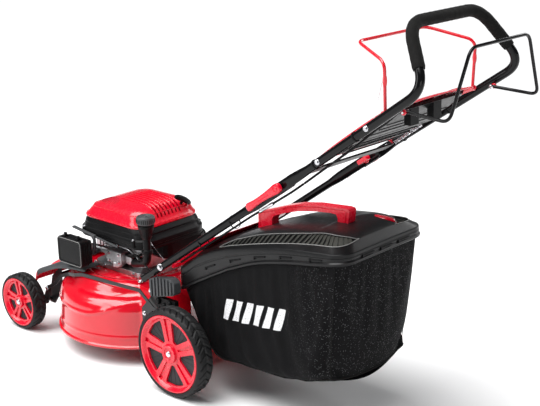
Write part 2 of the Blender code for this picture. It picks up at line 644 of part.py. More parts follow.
def make_crankshaft():
    centre = (0, DECK_Y, 0)
    shaft = [(0.0120, 0.0760), (0.0120, 0.0828), (0.0060, 0.0832), (0.0060, 0.0945),
             (0.0125, 0.0950), (0.0125, 0.372), (0.0100, 0.374), (0.0100, 0.392)]
    lathe("crankshaft", shaft, "Z", centre, "bright_steel", CRANK, SMALL_ROUND)
    fan = [(0.0130, FLYWHEEL_Z), (0.085, FLYWHEEL_Z), (0.090, FLYWHEEL_Z + 0.0075),
           (0.090, FLYWHEEL_Z + 0.0255), (0.0130, FLYWHEEL_Z + 0.0255)]
    lathe("flywheel", fan, "Z", centre, "cast_aluminium", CRANK, ROUND, closed=True)
    pulley = [(0.0130, 0.150), (0.030, 0.150), (0.024, 0.157), (0.024, 0.160), (0.030, 0.167),
              (0.0130, 0.167)]
    lathe("drive_pulley", pulley, "Z", centre, "dark_steel", CRANK, 20, closed=True)
    lathe("blade_adapter", [(0.0135, 0.0905), (0.034, 0.0905), (0.034, 0.097), (0.018, 0.103),
                            (0.018, 0.120), (0.0135, 0.120)], "Z", centre, "cast_aluminium", CRANK, 20,
          closed=True)
    half, chord, lift = 0.222, 0.027, 0.012
    rings = []
    for x in (-half, -0.15, -0.08, 0.08, 0.15, half):
        tail = lift if abs(x) > 0.1 else 0.0
        turn = 1 if x < 0 else -1      # the tails face opposite ways on the two arms
        front, back = -turn * chord, turn * chord
        section = [(front, 0.0855), (back * 0.3, 0.0855), (back, 0.0855 + tail),
                   (back, 0.0890 + tail), (back * 0.3, 0.0890), (front, 0.0890)]
        if x > 0:
            section = [section[i] for i in (2, 1, 0, 5, 4, 3)]
        rings.append([(x, DECK_Y + y, z + (0.001 if x else 0.0)) for y, z in section])
    blade = loft("blade", rings, "bright_steel", CRANK)
    cut(blade, disc("blade_hole", "Z", centre, 0.0064, 0.07, 0.10, "dark_steel", CRANK, SMALL_ROUND))


def make_gearbox():
    """Drive gearbox behind the deck's rear wall."""
    block("gearbox", (-0.045, -0.0545, 0.098), (0.045, 0.020, 0.1485), "cast_aluminium", MOWER, 0.006)


# ---- handle -------------------------------------------------------------------------------------
def make_lower_handle():
    for side, sign in (("left", 1), ("right", -1)):
        stations = [(-0.180, 0.0, TUBE, TUBE), (0.225, 0.0, TUBE, TUBE),
                    (0.265, -0.0055, 0.0050, 0.0140), (FOLD_Y + 0.028, -0.0055, 0.0050, 0.0140),
                    (FOLD_Y + 0.036, -0.0055, 0.0045, 0.0060)]
        route = [on_tube(sign * (HANDLE_X + shift), y) for y, shift, _, _ in stations]
        sizes = [(a, b) for _, _, a, b in stations]
        rings = sweep_rings(route, lambda i, s=sizes: s[i], 12)
        lower = loft(f"lower_tube_{side}", rings, "black_tube", MOWER)
        at = on_tube(0, FOLD_Y)
        cut(lower, disc(f"lower_tube_hole_{side}", "X", (0, at.y, at.z), 0.0046,
                        *sorted((sign * 0.15, sign * 0.20)), "black_tube", MOWER, 8))


def upper_route():
    start = [on_tube(HANDLE_X, y) for y in (FOLD_Y - 0.036, FOLD_Y - 0.028, FOLD_Y + 0.040,
                                            FOLD_Y + 0.080)]
    bend = on_tube(0.1985, 0.798)
    top = Vector((0.1375, 0.713, 1.0765))
    corners = rounded([start[-1], bend, top, Vector((-top.x, top.y, top.z)),
                       Vector((-bend.x, bend.y, bend.z)), Vector((-start[-1].x, *start[-1].yz))],
                      0.045, 5)
    other = [Vector((-point.x, point.y, point.z)) for point in reversed(start[:-1])]
    return start[:-1] + corners + other


def make_upper_handle():
    route = upper_route()
    count = len(route)
    flat = {0: (0.0045, 0.0060), 1: (0.0050, 0.0140), 2: (0.0050, 0.0140)}
    for i in range(count):
        if min(i, count - 1 - i) in (0, 1, 2):
            route[i] = route[i] + Vector((0.0065 if route[i].x > 0 else -0.0065, 0, 0))
    rings = sweep_rings(route, lambda i: flat.get(min(i, count - 1 - i), (TUBE, TUBE)), 12)
    handle = loft("upper_handle", rings, "black_tube", UPPER)
    at = on_tube(0, FOLD_Y)
    for sign in (1, -1):
        cut(handle, disc(f"upper_handle_hole_{sign}", "X", (0, at.y, at.z), 0.0046,
                         *sorted((sign * 0.15, sign * 0.20)), "black_tube", UPPER, 8))

    first = 9
    last = count - 10
    sub = route[first:last + 1]
    side = along_side(route, first)
    outer = sweep_rings(sub, FOAM, 12, side)
    inner = sweep_rings(sub, TUBE + 0.0006, 12, side)
    tube_shell("foam_grip", outer, inner, "foam", UPPER)


def along_side(route, index):
    """The side direction that a sweep along the route has when it reaches a point."""
    side = Vector((1, 0, 0))
    for i in range(index):
        before = route[max(i - 1, 0)]
        ahead = ((route[i + 1] - route[i]).normalized() + (route[i] - before).normalized()).normalized()
        side = (side - ahead * side.dot(ahead)).normalized()
    return side


def tube_shell(name, outer, inner, slot, body):
    """A sleeve, from the rings of its outside and of its bore."""
    mesh = bpy.data.meshes.new(name)
    work = bmesh.new()
    rows = [[work.verts.new(point) for point in ring] for ring in outer]
    bore = [[work.verts.new(point) for point in ring] for ring in inner]
    count = len(rows[0])
    for i in range(count):
        j = (i + 1) % count
        for a, b in zip(rows, rows[1:]):
            work.faces.new((a[i], a[j], b[j], b[i]))
        for a, b in zip(bore, bore[1:]):
            work.faces.new((a[i], a[j], b[j], b[i]))
        work.faces.new((rows[0][i], rows[0][j], bore[0][j], bore[0][i]))
        work.faces.new((rows[-1][i], rows[-1][j], bore[-1][j], bore[-1][i]))
    face_outwards(work)
    work.to_mesh(mesh)
    work.free()
    return place(name, mesh, slot, body)


def sheet(name, outer, inner, slot, body):
    """A thin wall between two grids of points, closed round its four edges."""
    mesh = bpy.data.meshes.new(name)
    work = bmesh.new()
    skins = [[[work.verts.new(point) for point in row] for row in grid] for grid in (outer, inner)]
    rows, columns = len(outer), len(outer[0])
    for grid in skins:
        for r in range(rows - 1):
            for c in range(columns - 1):
                work.faces.new((grid[r][c], grid[r][c + 1], grid[r + 1][c + 1], grid[r + 1][c]))
    front, back = skins
    for r in range(rows - 1):
        for c in (0, columns - 1):
            work.faces.new((front[r][c], front[r + 1][c], back[r + 1][c], back[r][c]))
    for c in range(columns - 1):
        for r in (0, rows - 1):
            work.faces.new((front[r][c], front[r][c + 1], back[r][c + 1], back[r][c]))
    face_outwards(work)
    work.to_mesh(mesh)
    work.free()
    return place(name, mesh, slot, body)


def make_crossbars():
    half = 0.017
    for name, y, reach in (("crossbar_lower", 0.436, 0.1605), ("crossbar_upper", 0.575, 0.1695)):
        ends = [on_tube(0, y - half * cos(HANDLE_SLOPE), off) for off in (-0.0055, -0.0025)]
        ends += [on_tube(0, y + half * cos(HANDLE_SLOPE), off) for off in (-0.0025, -0.0055)]
        outline = [(point.y, point.z) for point in ends]
        prism(name, outline, "X", -reach, reach, "black_plastic", UPPER)


def make_console():
    """Domed dashboard between the side tubes."""
    heights = [(0.452, 0.010), (0.456, 0.024), (0.520, 0.032), (0.600, 0.034), (0.665, 0.026),
               (0.702, 0.012)]
    spots = (-0.148, -0.144, -0.10, -0.05, 0.0, 0.05, 0.10, 0.144, 0.148)
    grids = []
    for inset in (0.0, 0.003):
        grid = []
        for x in spots:
            dome = 1.0 - 0.35 * (x / 0.148) ** 2
            edge = 0.008 if abs(x) > 0.146 else 0.0
            shrunk = x * (1 - inset / 0.148)
            grid.append([on_tube(shrunk, y + inset * (1 if y < 0.5 else -1) * (y < 0.46 or y > 0.69),
                                 h * dome - edge - inset * (edge == 0.0)) for y, h in heights])
        grids.append(grid)
    sheet("console_panel", grids[0], grids[1], "red_plastic", UPPER)


def make_bails():
    """Spring-wire bails: the engine brake in front of the grip and the drive behind it."""
    top = (0.133, 0.566, 1.022)
    shoulder = (0.180, 0.679, 0.992)
    foot = (BAIL_X, *BRAKE_PIVOT)
    half = [foot, shoulder, top]
    route = rounded(half + [(-x, y, z) for x, y, z in reversed(half)], WIRE_BEND, 3)
    rod("brake_bail", route, WIRE, "red_steel", BRAKE_BAIL, 8, Vector((0, 1, 0)))
    half = [(BAIL_X, *DRIVE_PIVOT), (0.182, 0.853, 0.880), (0.117, 0.8615, 1.033)]
    route = rounded(half + [(-x, y, z) for x, y, z in reversed(half)], WIRE_BEND, 3)
    rod("drive_bail", route, WIRE, "black_tube", DRIVE_BAIL, 8, Vector((0, 0, 1)))


def make_clamps():
    """Through bolts at the fold, each with a wing head inside and a cam lever outside."""
    at = on_tube(0, FOLD_Y)
    for side, sign, body in (("left", 1, CAM_LEFT), ("right", -1, CAM_RIGHT)):
        shank = disc(f"fold_bolt_{side}", "X", (0, at.y, at.z), 0.0040,
                     *sorted((sign * 0.1480, sign * 0.1860)), "red_plastic", MOWER, 8)
        wing = [on_tube(0, FOLD_Y + dy, off) for dy, off in ((-0.013, -0.006), (0.013, -0.006),
                                                             (0.013, 0.006), (-0.013, 0.006))]
        outline = [(point.y, point.z) for point in wing]
        low, high = sorted((sign * 0.1400, sign * 0.1600))
        weld(shank, prism(f"wing_{side}", outline, "X", low, high, "red_plastic", MOWER, 0.002))

        ahead = Vector((0, cos(HANDLE_SLOPE), sin(HANDLE_SLOPE)))
        square = Vector((0, -sin(HANDLE_SLOPE), cos(HANDLE_SLOPE)))
        rings = []
        for along, wide, thick in ((0.006, 0.005, 0.004), (0.003, 0.011, 0.0065), (-0.03, 0.011, 0.007),
                                   (-0.085, 0.008, 0.006), (-0.120, 0.011, 0.005), (-0.124, 0.008, 0.004)):
            middle = at + ahead * along + Vector((sign * CAM_X, 0, 0))
            rings.append([middle + Vector((dx * thick, 0, 0)) + square * (dn * wide)
                          for dx, dn in ((1, 0.6), (0.6, 1), (-0.6, 1), (-1, 0.6), (-1, -0.6),
                                         (-0.6, -1), (0.6, -1), (1, -0.6))])
        loft(f"cam_lever_{side}", rings, "red_plastic", body)


def make_cable():
    """Brake cable under the left tube; its lengths meet at the fold, and a bare wire ends it."""
    upper = [on_tube(CABLE_X, y, off) for y, off in (
        (0.640, -0.006), (0.600, -0.010), (0.560, -0.014), (0.500, -0.016), (0.450, -0.018),
        (0.405, -0.020))]
    rod("control_cable_upper", upper, CABLE, "black_plastic", UPPER, 8)
    sleeve = [on_tube(CABLE_X, y, off) for y, off in (
        (0.401, -0.020), (0.360, -0.021), (0.300, -0.019), (0.220, -0.016), (0.120, -0.016),
        (0.030, -0.0155), (-0.050, -0.0155))]
    bare = [on_tube(CABLE_X, -0.0505, -0.0155), Vector((0.1470, -0.105, 0.333)),
            Vector((0.1290, -0.170, 0.343)), Vector((0.1100, -0.224, 0.350))]
    radii = [CABLE] * len(sleeve) + [CABLE_CORE] * len(bare)
    rings = sweep_rings(sleeve + bare, lambda i: (radii[i], radii[i]), 8)
    loft("control_cable_lower", rings, "black_plastic", MOWER)


# ---- grass catcher ------------------------------------------------------------------------------
# (y, half width, lower edge z, shoulder z, crown z) of the lid
LID = ((-0.045, 0.1560, 0.276, 0.343, 0.358), (0.020, 0.1590, 0.310, 0.386, 0.405),
       (0.080, 0.1620, 0.342, 0.416, 0.437), (0.150, 0.1660, 0.378, 0.441, 0.465),
       (0.250, 0.1700, 0.418, 0.466, 0.500), (0.350, 0.1730, 0.444, 0.487, 0.520),
       (0.450, 0.1740, 0.462, 0.500, 0.530), (0.538, 0.1720, 0.476, 0.506, 0.532))
# (upper y, lower y, upper half width, lower half width, upper z, lower z) of the fabric
BAG = ((-0.040, 0.012, 0.1485, 0.138, 0.292, 0.172), (0.060, 0.085, 0.1560, 0.148, 0.340, 0.122),
       (0.150, 0.160, 0.1605, 0.155, 0.386, 0.122), (0.300, 0.305, 0.1660, 0.160, 0.440, 0.128),
       (0.420, 0.412, 0.1685, 0.156, 0.462, 0.142), (0.515, 0.487, 0.1660, 0.148, 0.476, 0.162))


def lid_row(station, inset):
    y, half, low, shoulder, crown = station
    side = [(half, low), (half, shoulder - 0.012), (half - 0.006, shoulder), (half * 0.80, 0.45 * shoulder
            + 0.55 * crown), (half * 0.45, crown - 0.003)]
    side = [(x - inset * (x > 0.1), z - inset * (z > low)) for x, z in side]
    return ([(x, y, z) for x, z in side] + [(0.0, y, crown - inset)]
            + [(-x, y, z) for x, z in reversed(side)])


def make_lid():
    """Moulded lid: a domed shell whose rear end turns down, and its carrying handle."""
    rear_depth = 0.012
    grids = []
    for inset in (0.0, PLASTIC):
        grid = [lid_row(station, inset) for station in LID]
        low = LID[-1][2]
        edge = grid.pop()
        grid.append([(x, y - inset, z) for x, y, z in edge])
        for back, drop in ((rear_depth - 0.004, 0.6), (rear_depth, 1.0)):
            grid.append([(x, y + back - inset, z - drop * (z - low)) for x, y, z in edge])
        grids.append(grid)
    sheet("catcher_lid", grids[0], grids[1], "black_plastic", CATCHER)
    route = rounded([(0, 0.148, 0.4700), (0, 0.150, 0.5010), (0, 0.285, 0.5475), (0, 0.427, 0.5520),
                     (0, 0.426, 0.5315)], 0.030, 4)
    loft("catcher_handle", sweep_rings(route, lambda i: (0.013, 0.008), 8), "red_plastic", CATCHER)


def bag_row(station, t):
    upper_y, lower_y, wide, narrow, upper_z, lower_z = station
    outline = [(0.0, wide), (0.45, 0.5 * wide + 0.5 * narrow), (0.88, narrow)]
    row = []
    for down, half in outline:
        row.append((half - t, upper_y + (lower_y - upper_y) * down, upper_z + (lower_z - upper_z) * down))
    row.append((narrow * 0.88, lower_y, lower_z + t))
    row.append((narrow * 0.45, lower_y, lower_z - 0.006 + t))
    middle = [(0.0, lower_y, lower_z - 0.008 + t)]
    return row + middle + [(-x, y, z) for x, y, z in reversed(row)]


def make_bag():
    """Fabric body of the catcher, open at the front and under the lid."""
    grids = []
    for t in (0.0, PLASTIC):
        grid = [bag_row(station, t) for station in BAG]
        upper_y, lower_y, _, _, upper_z, lower_z = BAG[-1]
        for lift in (0.5, 1.0):
            closing = []
            for x, y, z in grid[len(BAG) - 1]:
                height = z + (upper_z - z) * lift
                share = (height - lower_z) / (upper_z - lower_z)
                back = lower_y + (upper_y - lower_y) * share + 0.016 - t
                closing.append((x, back, height))
            grid.append(closing)
        grid[len(BAG) - 1] = [(x, y + 0.010 - t, z) for x, y, z in grid[len(BAG) - 1]]
        grids.append(grid)
    sheet("catcher_bag", grids[0], grids[1], "bag_fabric", CATCHER)


def make_flap():
    """Spring-loaded rear flap, resting on the front of the catcher's lid."""
    x = 0.142
    outline = [(-0.098, 0.327), (-0.090, 0.3235), (-0.078, 0.3355), (-0.045, 0.3645), (0.080, 0.4460),
               (0.086, 0.4530), (0.078, 0.4505), (-0.050, 0.3680), (-0.090, 0.3365)]
    prism("rear_flap", outline, "X", -x, x, "red_plastic", FLAP)


def main():
    make_wheels()
    make_height_adjustment()
    make_deck()
    make_chute()
    make_rear_brackets()
    make_front_structure()
    make_engine_block()
    make_carburettor()
    make_shroud()
    make_engine_cover()
    make_recoil_grip()
    make_oil_filler()
    make_crankshaft()
    make_gearbox()
    make_lower_handle()
    make_upper_handle()
    make_crossbars()
    make_console()
    make_bails()
    make_clamps()
    make_cable()
    make_lid()
    make_bag()
    make_flap()


clear_scene()
MOWER = empty("mower", (0, REAR_AXLE_Y, 0))
AIR_COVER = empty("air_cover_slide", (0.19, -0.482, 0.303), MOWER)
FUEL_CAP = empty("fuel_cap_axis", (-0.13, *FUEL_NECK), MOWER)
RECOIL = empty("recoil_slide", RECOIL_EXIT, MOWER)
DIPSTICK = empty("dipstick_axis", (*FILLER, 0.43), MOWER)
CRANK = empty("crankshaft_axis", (0, DECK_Y, 0.2), MOWER)
UPPER = empty("fold_axis", (0, FOLD_Y, tube_z(FOLD_Y)), MOWER)
BRAKE_BAIL = empty("brake_bail_axis", (0, *BRAKE_PIVOT), MOWER)
DRIVE_BAIL = empty("drive_bail_axis", (0, *DRIVE_PIVOT), MOWER)
CAM_LEFT = empty("cam_axis_left", (CAM_X, FOLD_Y, tube_z(FOLD_Y)), MOWER)
CAM_RIGHT = empty("cam_axis_right", (-CAM_X, FOLD_Y, tube_z(FOLD_Y)), MOWER)
CATCHER = empty("catcher_slide", (0, 0.24, 0.28), MOWER)
FLAP = empty("flap_axis", (0, *FLAP_HINGE), MOWER)
main()
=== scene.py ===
"""Looks of the petrol lawn mower with its grass catcher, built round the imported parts.

Shapes are drawn in the mower's own coordinates: zero is on the ground below the rear axle, +Y
towards the operator, +X the mower's left.
"""

from math import cos, exp, floor, hypot, pi, radians, sin, tan

import bmesh
import bpy
from mathutils import Matrix, Vector
from mathutils.bvhtree import BVHTree


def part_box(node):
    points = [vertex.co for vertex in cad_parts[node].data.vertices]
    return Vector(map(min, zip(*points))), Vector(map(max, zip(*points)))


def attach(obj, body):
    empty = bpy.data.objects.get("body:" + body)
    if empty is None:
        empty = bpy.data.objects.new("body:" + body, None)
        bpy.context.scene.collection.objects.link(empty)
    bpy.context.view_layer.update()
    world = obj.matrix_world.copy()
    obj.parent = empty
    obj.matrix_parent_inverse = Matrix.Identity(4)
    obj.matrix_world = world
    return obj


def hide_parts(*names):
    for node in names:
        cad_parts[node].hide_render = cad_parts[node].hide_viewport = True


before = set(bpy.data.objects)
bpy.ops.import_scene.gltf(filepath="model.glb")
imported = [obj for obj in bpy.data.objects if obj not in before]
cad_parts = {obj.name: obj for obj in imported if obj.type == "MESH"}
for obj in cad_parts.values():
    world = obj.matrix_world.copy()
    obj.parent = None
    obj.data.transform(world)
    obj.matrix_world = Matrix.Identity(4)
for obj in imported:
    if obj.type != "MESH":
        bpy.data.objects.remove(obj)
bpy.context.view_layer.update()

# ---- driving dimensions -------------------------------------------------------------------------
SHIFT = sum(corner.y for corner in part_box("rear_left_tyre")) / 2    # rear axle's place in the frame
REAR_AXLE = (0.0, 0.127)
FRONT_AXLE = (-0.731, 0.0889)
SHAFT = 0.006
WINDOW_TURN = 62               # degrees from straight back to the middle of a rim's first window
DECK_Y = -0.400
DECK_RADIUS = 0.252
DECK_REAR_Y = -0.055
DECK_REAR_X = 0.168
DECK_TOP_Z = 0.236
CHUTE_X = 0.1224
SLOPE = radians(34.27)         # of the side tubes, with the directions along and square to them
ALONG = Vector((0, cos(SLOPE), sin(SLOPE)))
SQUARE = Vector((0, -sin(SLOPE), cos(SLOPE)))
HANDLE_Z = 0.404
HANDLE_X = 0.172
TUBE = 0.011
FOAM = 0.0155
FOLD_Y = 0.360
BAIL_X = 0.1740
BRAKE_PIVOT = (0.677, 0.876)
DRIVE_PIVOT = (0.733, 0.887)
WIRE = 0.004
CAM_X = 0.1935
CABLE_X = 0.1535
SPLAY_START_Y = 0.440          # the upper handle's legs splay from here
SPLAY_X, SPLAY_Y = 0.1985, 0.798
FILLER = (0.1385, -0.200)
LID_END_Y = 0.550
LID_CORNER = 0.050
LID_RADIAL = 0.150             # length at the rear where the lid falls towards its end as well
LID_BRIM = 0.0065              # flat brim between the lid's edge and its dome
CAMERA_PLACE = (2.2568, 2.2648, 1.4648)
CAMERA_TURN = (133.0653, 16.8784, -1.4733)      # yaw, pitch and roll in degrees
CAMERA_LENS = 79.63

# (y, half width, lower edge z, shoulder z, crown z) of the lid
LID = ((-0.045, 0.1560, 0.276, 0.343, 0.358), (0.020, 0.1590, 0.310, 0.386, 0.405),
       (0.080, 0.1620, 0.342, 0.416, 0.437), (0.150, 0.1660, 0.378, 0.441, 0.465),
       (0.250, 0.1700, 0.418, 0.466, 0.500), (0.350, 0.1730, 0.444, 0.487, 0.520),
       (0.450, 0.1740, 0.462, 0.500, 0.530), (0.550, 0.1720, 0.477, 0.507, 0.532))
# (upper y, lower y, upper half width, lower half width, upper z, lower z) of the fabric
BAG = ((-0.040, 0.012, 0.1485, 0.138, 0.292, 0.172), (0.060, 0.085, 0.1560, 0.148, 0.340, 0.122),
       (0.150, 0.160, 0.1605, 0.155, 0.386, 0.122), (0.300, 0.305, 0.1660, 0.160, 0.440, 0.128),
       (0.420, 0.412, 0.1685, 0.156, 0.462, 0.142), (0.519, 0.492, 0.1660, 0.149, 0.478, 0.160))


# ---- materials ----------------------------------------------------------------------------------
def new_material(name):
    made = bpy.data.materials.new(name)
    made.use_nodes = True
    tree = made.node_tree
    return made, tree, tree.nodes["Principled BSDF"]


def noise(tree, vector, scale, detail=3.0):
    node = tree.nodes.new("ShaderNodeTexNoise")
    node.inputs["Scale"].default_value = scale
    node.inputs["Detail"].default_value = detail
    tree.links.new(vector, node.inputs["Vector"])
    return node.outputs["Fac"]


def remap(tree, value, low, high, from_low=0.3, from_high=0.7):
    node = tree.nodes.new("ShaderNodeMapRange")
    node.inputs["From Min"].default_value = from_low
    node.inputs["From Max"].default_value = from_high
    node.inputs["To Min"].default_value = low
    node.inputs["To Max"].default_value = high
    tree.links.new(value, node.inputs["Value"])
    return node.outputs["Result"]


def blend_colours(tree, factor, first, second):
    node = tree.nodes.new("ShaderNodeMix")
    node.data_type = "RGBA"
    tree.links.new(factor, node.inputs["Factor"])
    for socket, colour in ((node.inputs["A"], first), (node.inputs["B"], second)):
        if isinstance(colour, tuple):
            socket.default_value = (*colour, 1.0)
        else:
            tree.links.new(colour, socket)
    return node.outputs["Result"]


def calc(tree, operation, *values):
    node = tree.nodes.new("ShaderNodeMath")
    node.operation = operation
    for socket, value in zip(node.inputs, values):
        if isinstance(value, (int, float)):
            socket.default_value = value
        else:
            tree.links.new(value, socket)
    return node.outputs[0]


def bump(tree, shader, height, strength, distance, below=None):
    node = tree.nodes.new("ShaderNodeBump")
    node.inputs["Strength"].default_value = strength
    node.inputs["Distance"].default_value = distance
    tree.links.new(height, node.inputs["Height"])
    if below:
        tree.links.new(below, node.inputs["Normal"])
    tree.links.new(node.outputs["Normal"], shader.inputs["Normal"])
    return node.outputs["Normal"]


def finish_of(name, light, dark, roughness, metallic=0.0, grain=(900.0, 0.1, 0.0002), wave=None,
              coat=0.0, coat_roughness=0.05, specular=0.5, spread=0.05):
    """A finish whose colour and roughness wander a little, with a fine grain and broad waves."""
    made, tree, shader = new_material(name)
    place = tree.nodes.new("ShaderNodeTexCoord").outputs["Object"]
    broad = noise(tree, place, 14.0, 5.0)
    small = noise(tree, place, 90.0, 3.0)
    colour = blend_colours(tree, remap(tree, broad, 0.0, 1.0), dark, light)
    tree.links.new(colour, shader.inputs["Base Color"])
    rough = remap(tree, small, roughness - spread, roughness + spread)
    tree.links.new(rough, shader.inputs["Roughness"])
    scale, strength, distance = grain
    normal = bump(tree, shader, noise(tree, place, scale, 2.0), strength, distance)
    if wave:
        bump(tree, shader, noise(tree, place, wave[0], 1.0), wave[1], wave[2], normal)
    shader.inputs["Metallic"].default_value = metallic
    shader.inputs["Coat Weight"].default_value = coat
    shader.inputs["Coat Roughness"].default_value = coat_roughness
    shader.inputs["Specular IOR Level"].default_value = specular
    return made


def woven_fabric():
    """Black woven polyester, with open mesh towards the rear and a plain white print on the side."""
    made, tree, shader = new_material("woven_fabric")
    uv = tree.nodes.new("ShaderNodeTexCoord").outputs["UV"]
    split = tree.nodes.new("ShaderNodeSeparateXYZ")
    tree.links.new(uv, split.inputs[0])
    u, v = split.outputs["X"], split.outputs["Y"]
    thread = 0.0011
    warp = calc(tree, "SINE", calc(tree, "MULTIPLY", u, 2 * pi / thread))
    weft = calc(tree, "SINE", calc(tree, "MULTIPLY", v, 2 * pi / thread))
    weave = calc(tree, "MULTIPLY", warp, weft)
    broad = noise(tree, uv, 22.0, 6.0)
    base = blend_colours(tree, remap(tree, broad, 0.0, 1.0), (0.0018, 0.0018, 0.0021),
                         (0.0058, 0.0058, 0.0065))

    # open mesh: it fades in towards the rear of the left side panel, and covers the rear panel
    opened = remap(tree, u, 0.0, 1.0, 0.36, 0.47)
    other = calc(tree, "GREATER_THAN", u, 3.0)
    between = calc(tree, "LESS_THAN", u, 0.8)
    opened = calc(tree, "MAXIMUM", calc(tree, "MULTIPLY", opened, between), other)
    # pale specks over the open mesh: painted sheen on its threads, mixed into the base colour
    cells = tree.nodes.new("ShaderNodeTexVoronoi")
    cells.inputs["Scale"].default_value = 330.0
    tree.links.new(uv, cells.inputs["Vector"])
    chance = tree.nodes.new("ShaderNodeSeparateColor")
    tree.links.new(cells.outputs["Color"], chance.inputs[0])
    painted_sheen_speck = calc(tree, "MULTIPLY", calc(tree, "GREATER_THAN", chance.outputs["Red"], 0.84),
                 calc(tree, "LESS_THAN", cells.outputs["Distance"], 0.42))
    painted_sheen_speck = calc(tree, "MULTIPLY", painted_sheen_speck, opened)
    base = blend_colours(tree, painted_sheen_speck, base, (0.085, 0.085, 0.088))

    # plain print: one row of slanted bars, tilted with the bag's side
    rise = calc(tree, "SUBTRACT", v, calc(tree, "MULTIPLY", calc(tree, "SUBTRACT", u, 0.106), 0.12))

    def within(value, low, high):
        return calc(tree, "MULTIPLY", calc(tree, "GREATER_THAN", value, low),
                    calc(tree, "LESS_THAN", value, high))

    slant = calc(tree, "ADD", u, calc(tree, "MULTIPLY", rise, -0.35))
    bars = calc(tree, "LESS_THAN", calc(tree, "FRACT", calc(tree, "MULTIPLY", slant, 26.0)), 0.62)
    bars = calc(tree, "MULTIPLY", bars, within(rise, 0.236, 0.294))
    bars = calc(tree, "MULTIPLY", bars, within(slant, 0.0385, 0.2693))
    worn = calc(tree, "GREATER_THAN", noise(tree, uv, 420.0, 2.0), 0.36)
    print_mask = calc(tree, "MULTIPLY", bars, worn)
    colour = blend_colours(tree, print_mask, base, (0.80, 0.80, 0.81))
    tree.links.new(colour, shader.inputs["Base Color"])
    rough = remap(tree, broad, 0.66, 0.80)
    tree.links.new(rough, shader.inputs["Roughness"])
    normal = bump(tree, shader, weave, 0.35, 0.0003)
    bump(tree, shader, noise(tree, uv, 60.0, 3.0), 0.25, 0.0012, normal)
    shader.inputs["Sheen Weight"].default_value = 0.01
    shader.inputs["Specular IOR Level"].default_value = 0.10

    clear = tree.nodes.new("ShaderNodeBsdfTransparent")
    holes = calc(tree, "MULTIPLY", calc(tree, "GREATER_THAN", weave, 0.55), opened)
    mixed = tree.nodes.new("ShaderNodeMixShader")
    tree.links.new(calc(tree, "MULTIPLY", holes, 0.75), mixed.inputs["Fac"])
    tree.links.new(shader.outputs[0], mixed.inputs[1])
    tree.links.new(clear.outputs[0], mixed.inputs[2])
    tree.links.new(mixed.outputs[0], tree.nodes["Material Output"].inputs["Surface"])
    return made


RED_PAINT = finish_of("red_paint", (0.70, 0.0012, 0.016), (0.62, 0.0008, 0.011), 0.22,
                      grain=(700.0, 0.05, 0.0001), wave=(45.0, 0.05, 0.0008), coat=0.9,
                      coat_roughness=0.03, specular=0.4)
RED_MOULDED = finish_of("red_moulded", (0.74, 0.0014, 0.024), (0.67, 0.0010, 0.018), 0.27,
                        grain=(1100.0, 0.10, 0.0001), wave=(30.0, 0.04, 0.0010), coat=0.5,
                        coat_roughness=0.08, specular=0.35)
BLACK_SATIN = finish_of("black_satin", (0.0062, 0.0062, 0.0066), (0.0036, 0.0036, 0.0040), 0.36,
                        grain=(1300.0, 0.30, 0.0002), wave=(24.0, 0.04, 0.001), specular=0.12)
LID_PLASTIC = finish_of("lid_plastic", (0.0080, 0.0080, 0.0086), (0.0050, 0.0050, 0.0054), 0.33,
                        grain=(1000.0, 0.35, 0.0002), wave=(16.0, 0.06, 0.0015), specular=0.24)
GREY_MOULDED = finish_of("grey_moulded", (0.060, 0.063, 0.066), (0.040, 0.043, 0.046), 0.46,
                         grain=(900.0, 0.35, 0.0002), specular=0.4)
BACKING_GREY = finish_of("backing_grey", (0.030, 0.031, 0.034), (0.019, 0.020, 0.022), 0.55,
                         grain=(700.0, 0.30, 0.0003), specular=0.3)
ENAMEL = finish_of("black_enamel", (0.0045, 0.0045, 0.0050), (0.0028, 0.0028, 0.0030), 0.14,
                   grain=(600.0, 0.05, 0.0001), wave=(60.0, 0.05, 0.0005), coat=0.12,
                   coat_roughness=0.03, specular=0.16)
SLAT_GREY = finish_of("slat_grey", (0.062, 0.062, 0.054), (0.042, 0.042, 0.036), 0.50,
                      grain=(900.0, 0.25, 0.0002), specular=0.3)
RUBBER = finish_of("tyre_rubber_black", (0.0090, 0.0090, 0.0096), (0.0050, 0.0050, 0.0054), 0.58,
                   grain=(800.0, 0.35, 0.0003), wave=(40.0, 0.10, 0.0008), specular=0.30)
FOAM_SKIN = finish_of("foam_skin", (0.0070, 0.0066, 0.0062), (0.0040, 0.0038, 0.0036), 0.85,
                      grain=(1500.0, 0.80, 0.0006), wave=(220.0, 0.30, 0.0008), specular=0.2)
CAST = finish_of("cast_metal", (0.62, 0.62, 0.63), (0.34, 0.34, 0.35), 0.40, metallic=1.0,
                 grain=(650.0, 0.60, 0.0005), wave=(70.0, 0.25, 0.0015), spread=0.10)
STEEL = finish_of("bright_zinc", (0.78, 0.78, 0.80), (0.58, 0.58, 0.61), 0.22, metallic=1.0,
                  grain=(1500.0, 0.20, 0.0001), spread=0.08)
DARK_STEEL = finish_of("dark_painted_steel", (0.020, 0.022, 0.023), (0.010, 0.011, 0.012), 0.34,
                       metallic=0.2, grain=(700.0, 0.20, 0.0003), wave=(50.0, 0.10, 0.0010))
FILTER = finish_of("filter_foam_open", (0.40, 0.37, 0.30), (0.28, 0.26, 0.21), 0.95,
                   grain=(700.0, 1.0, 0.0020))
# pale grey: a painted highlight along the louvre borders and the air filter's front edge
PAINTED_HIGHLIGHT_GREY = finish_of("painted_highlight_pale", (0.30, 0.30, 0.29), (0.22, 0.22, 0.215), 0.35,
                           grain=(900.0, 0.2, 0.0002))
# darker red for the grille dots: painted shade standing in for the grille's holes
PAINTED_HOLE_SHADE = finish_of("red_painted_hole_shade", (0.34, 0.010, 0.026), (0.26, 0.006, 0.018), 0.45,
                      grain=(900.0, 0.2, 0.0002), specular=0.3)
FABRIC = woven_fabric()


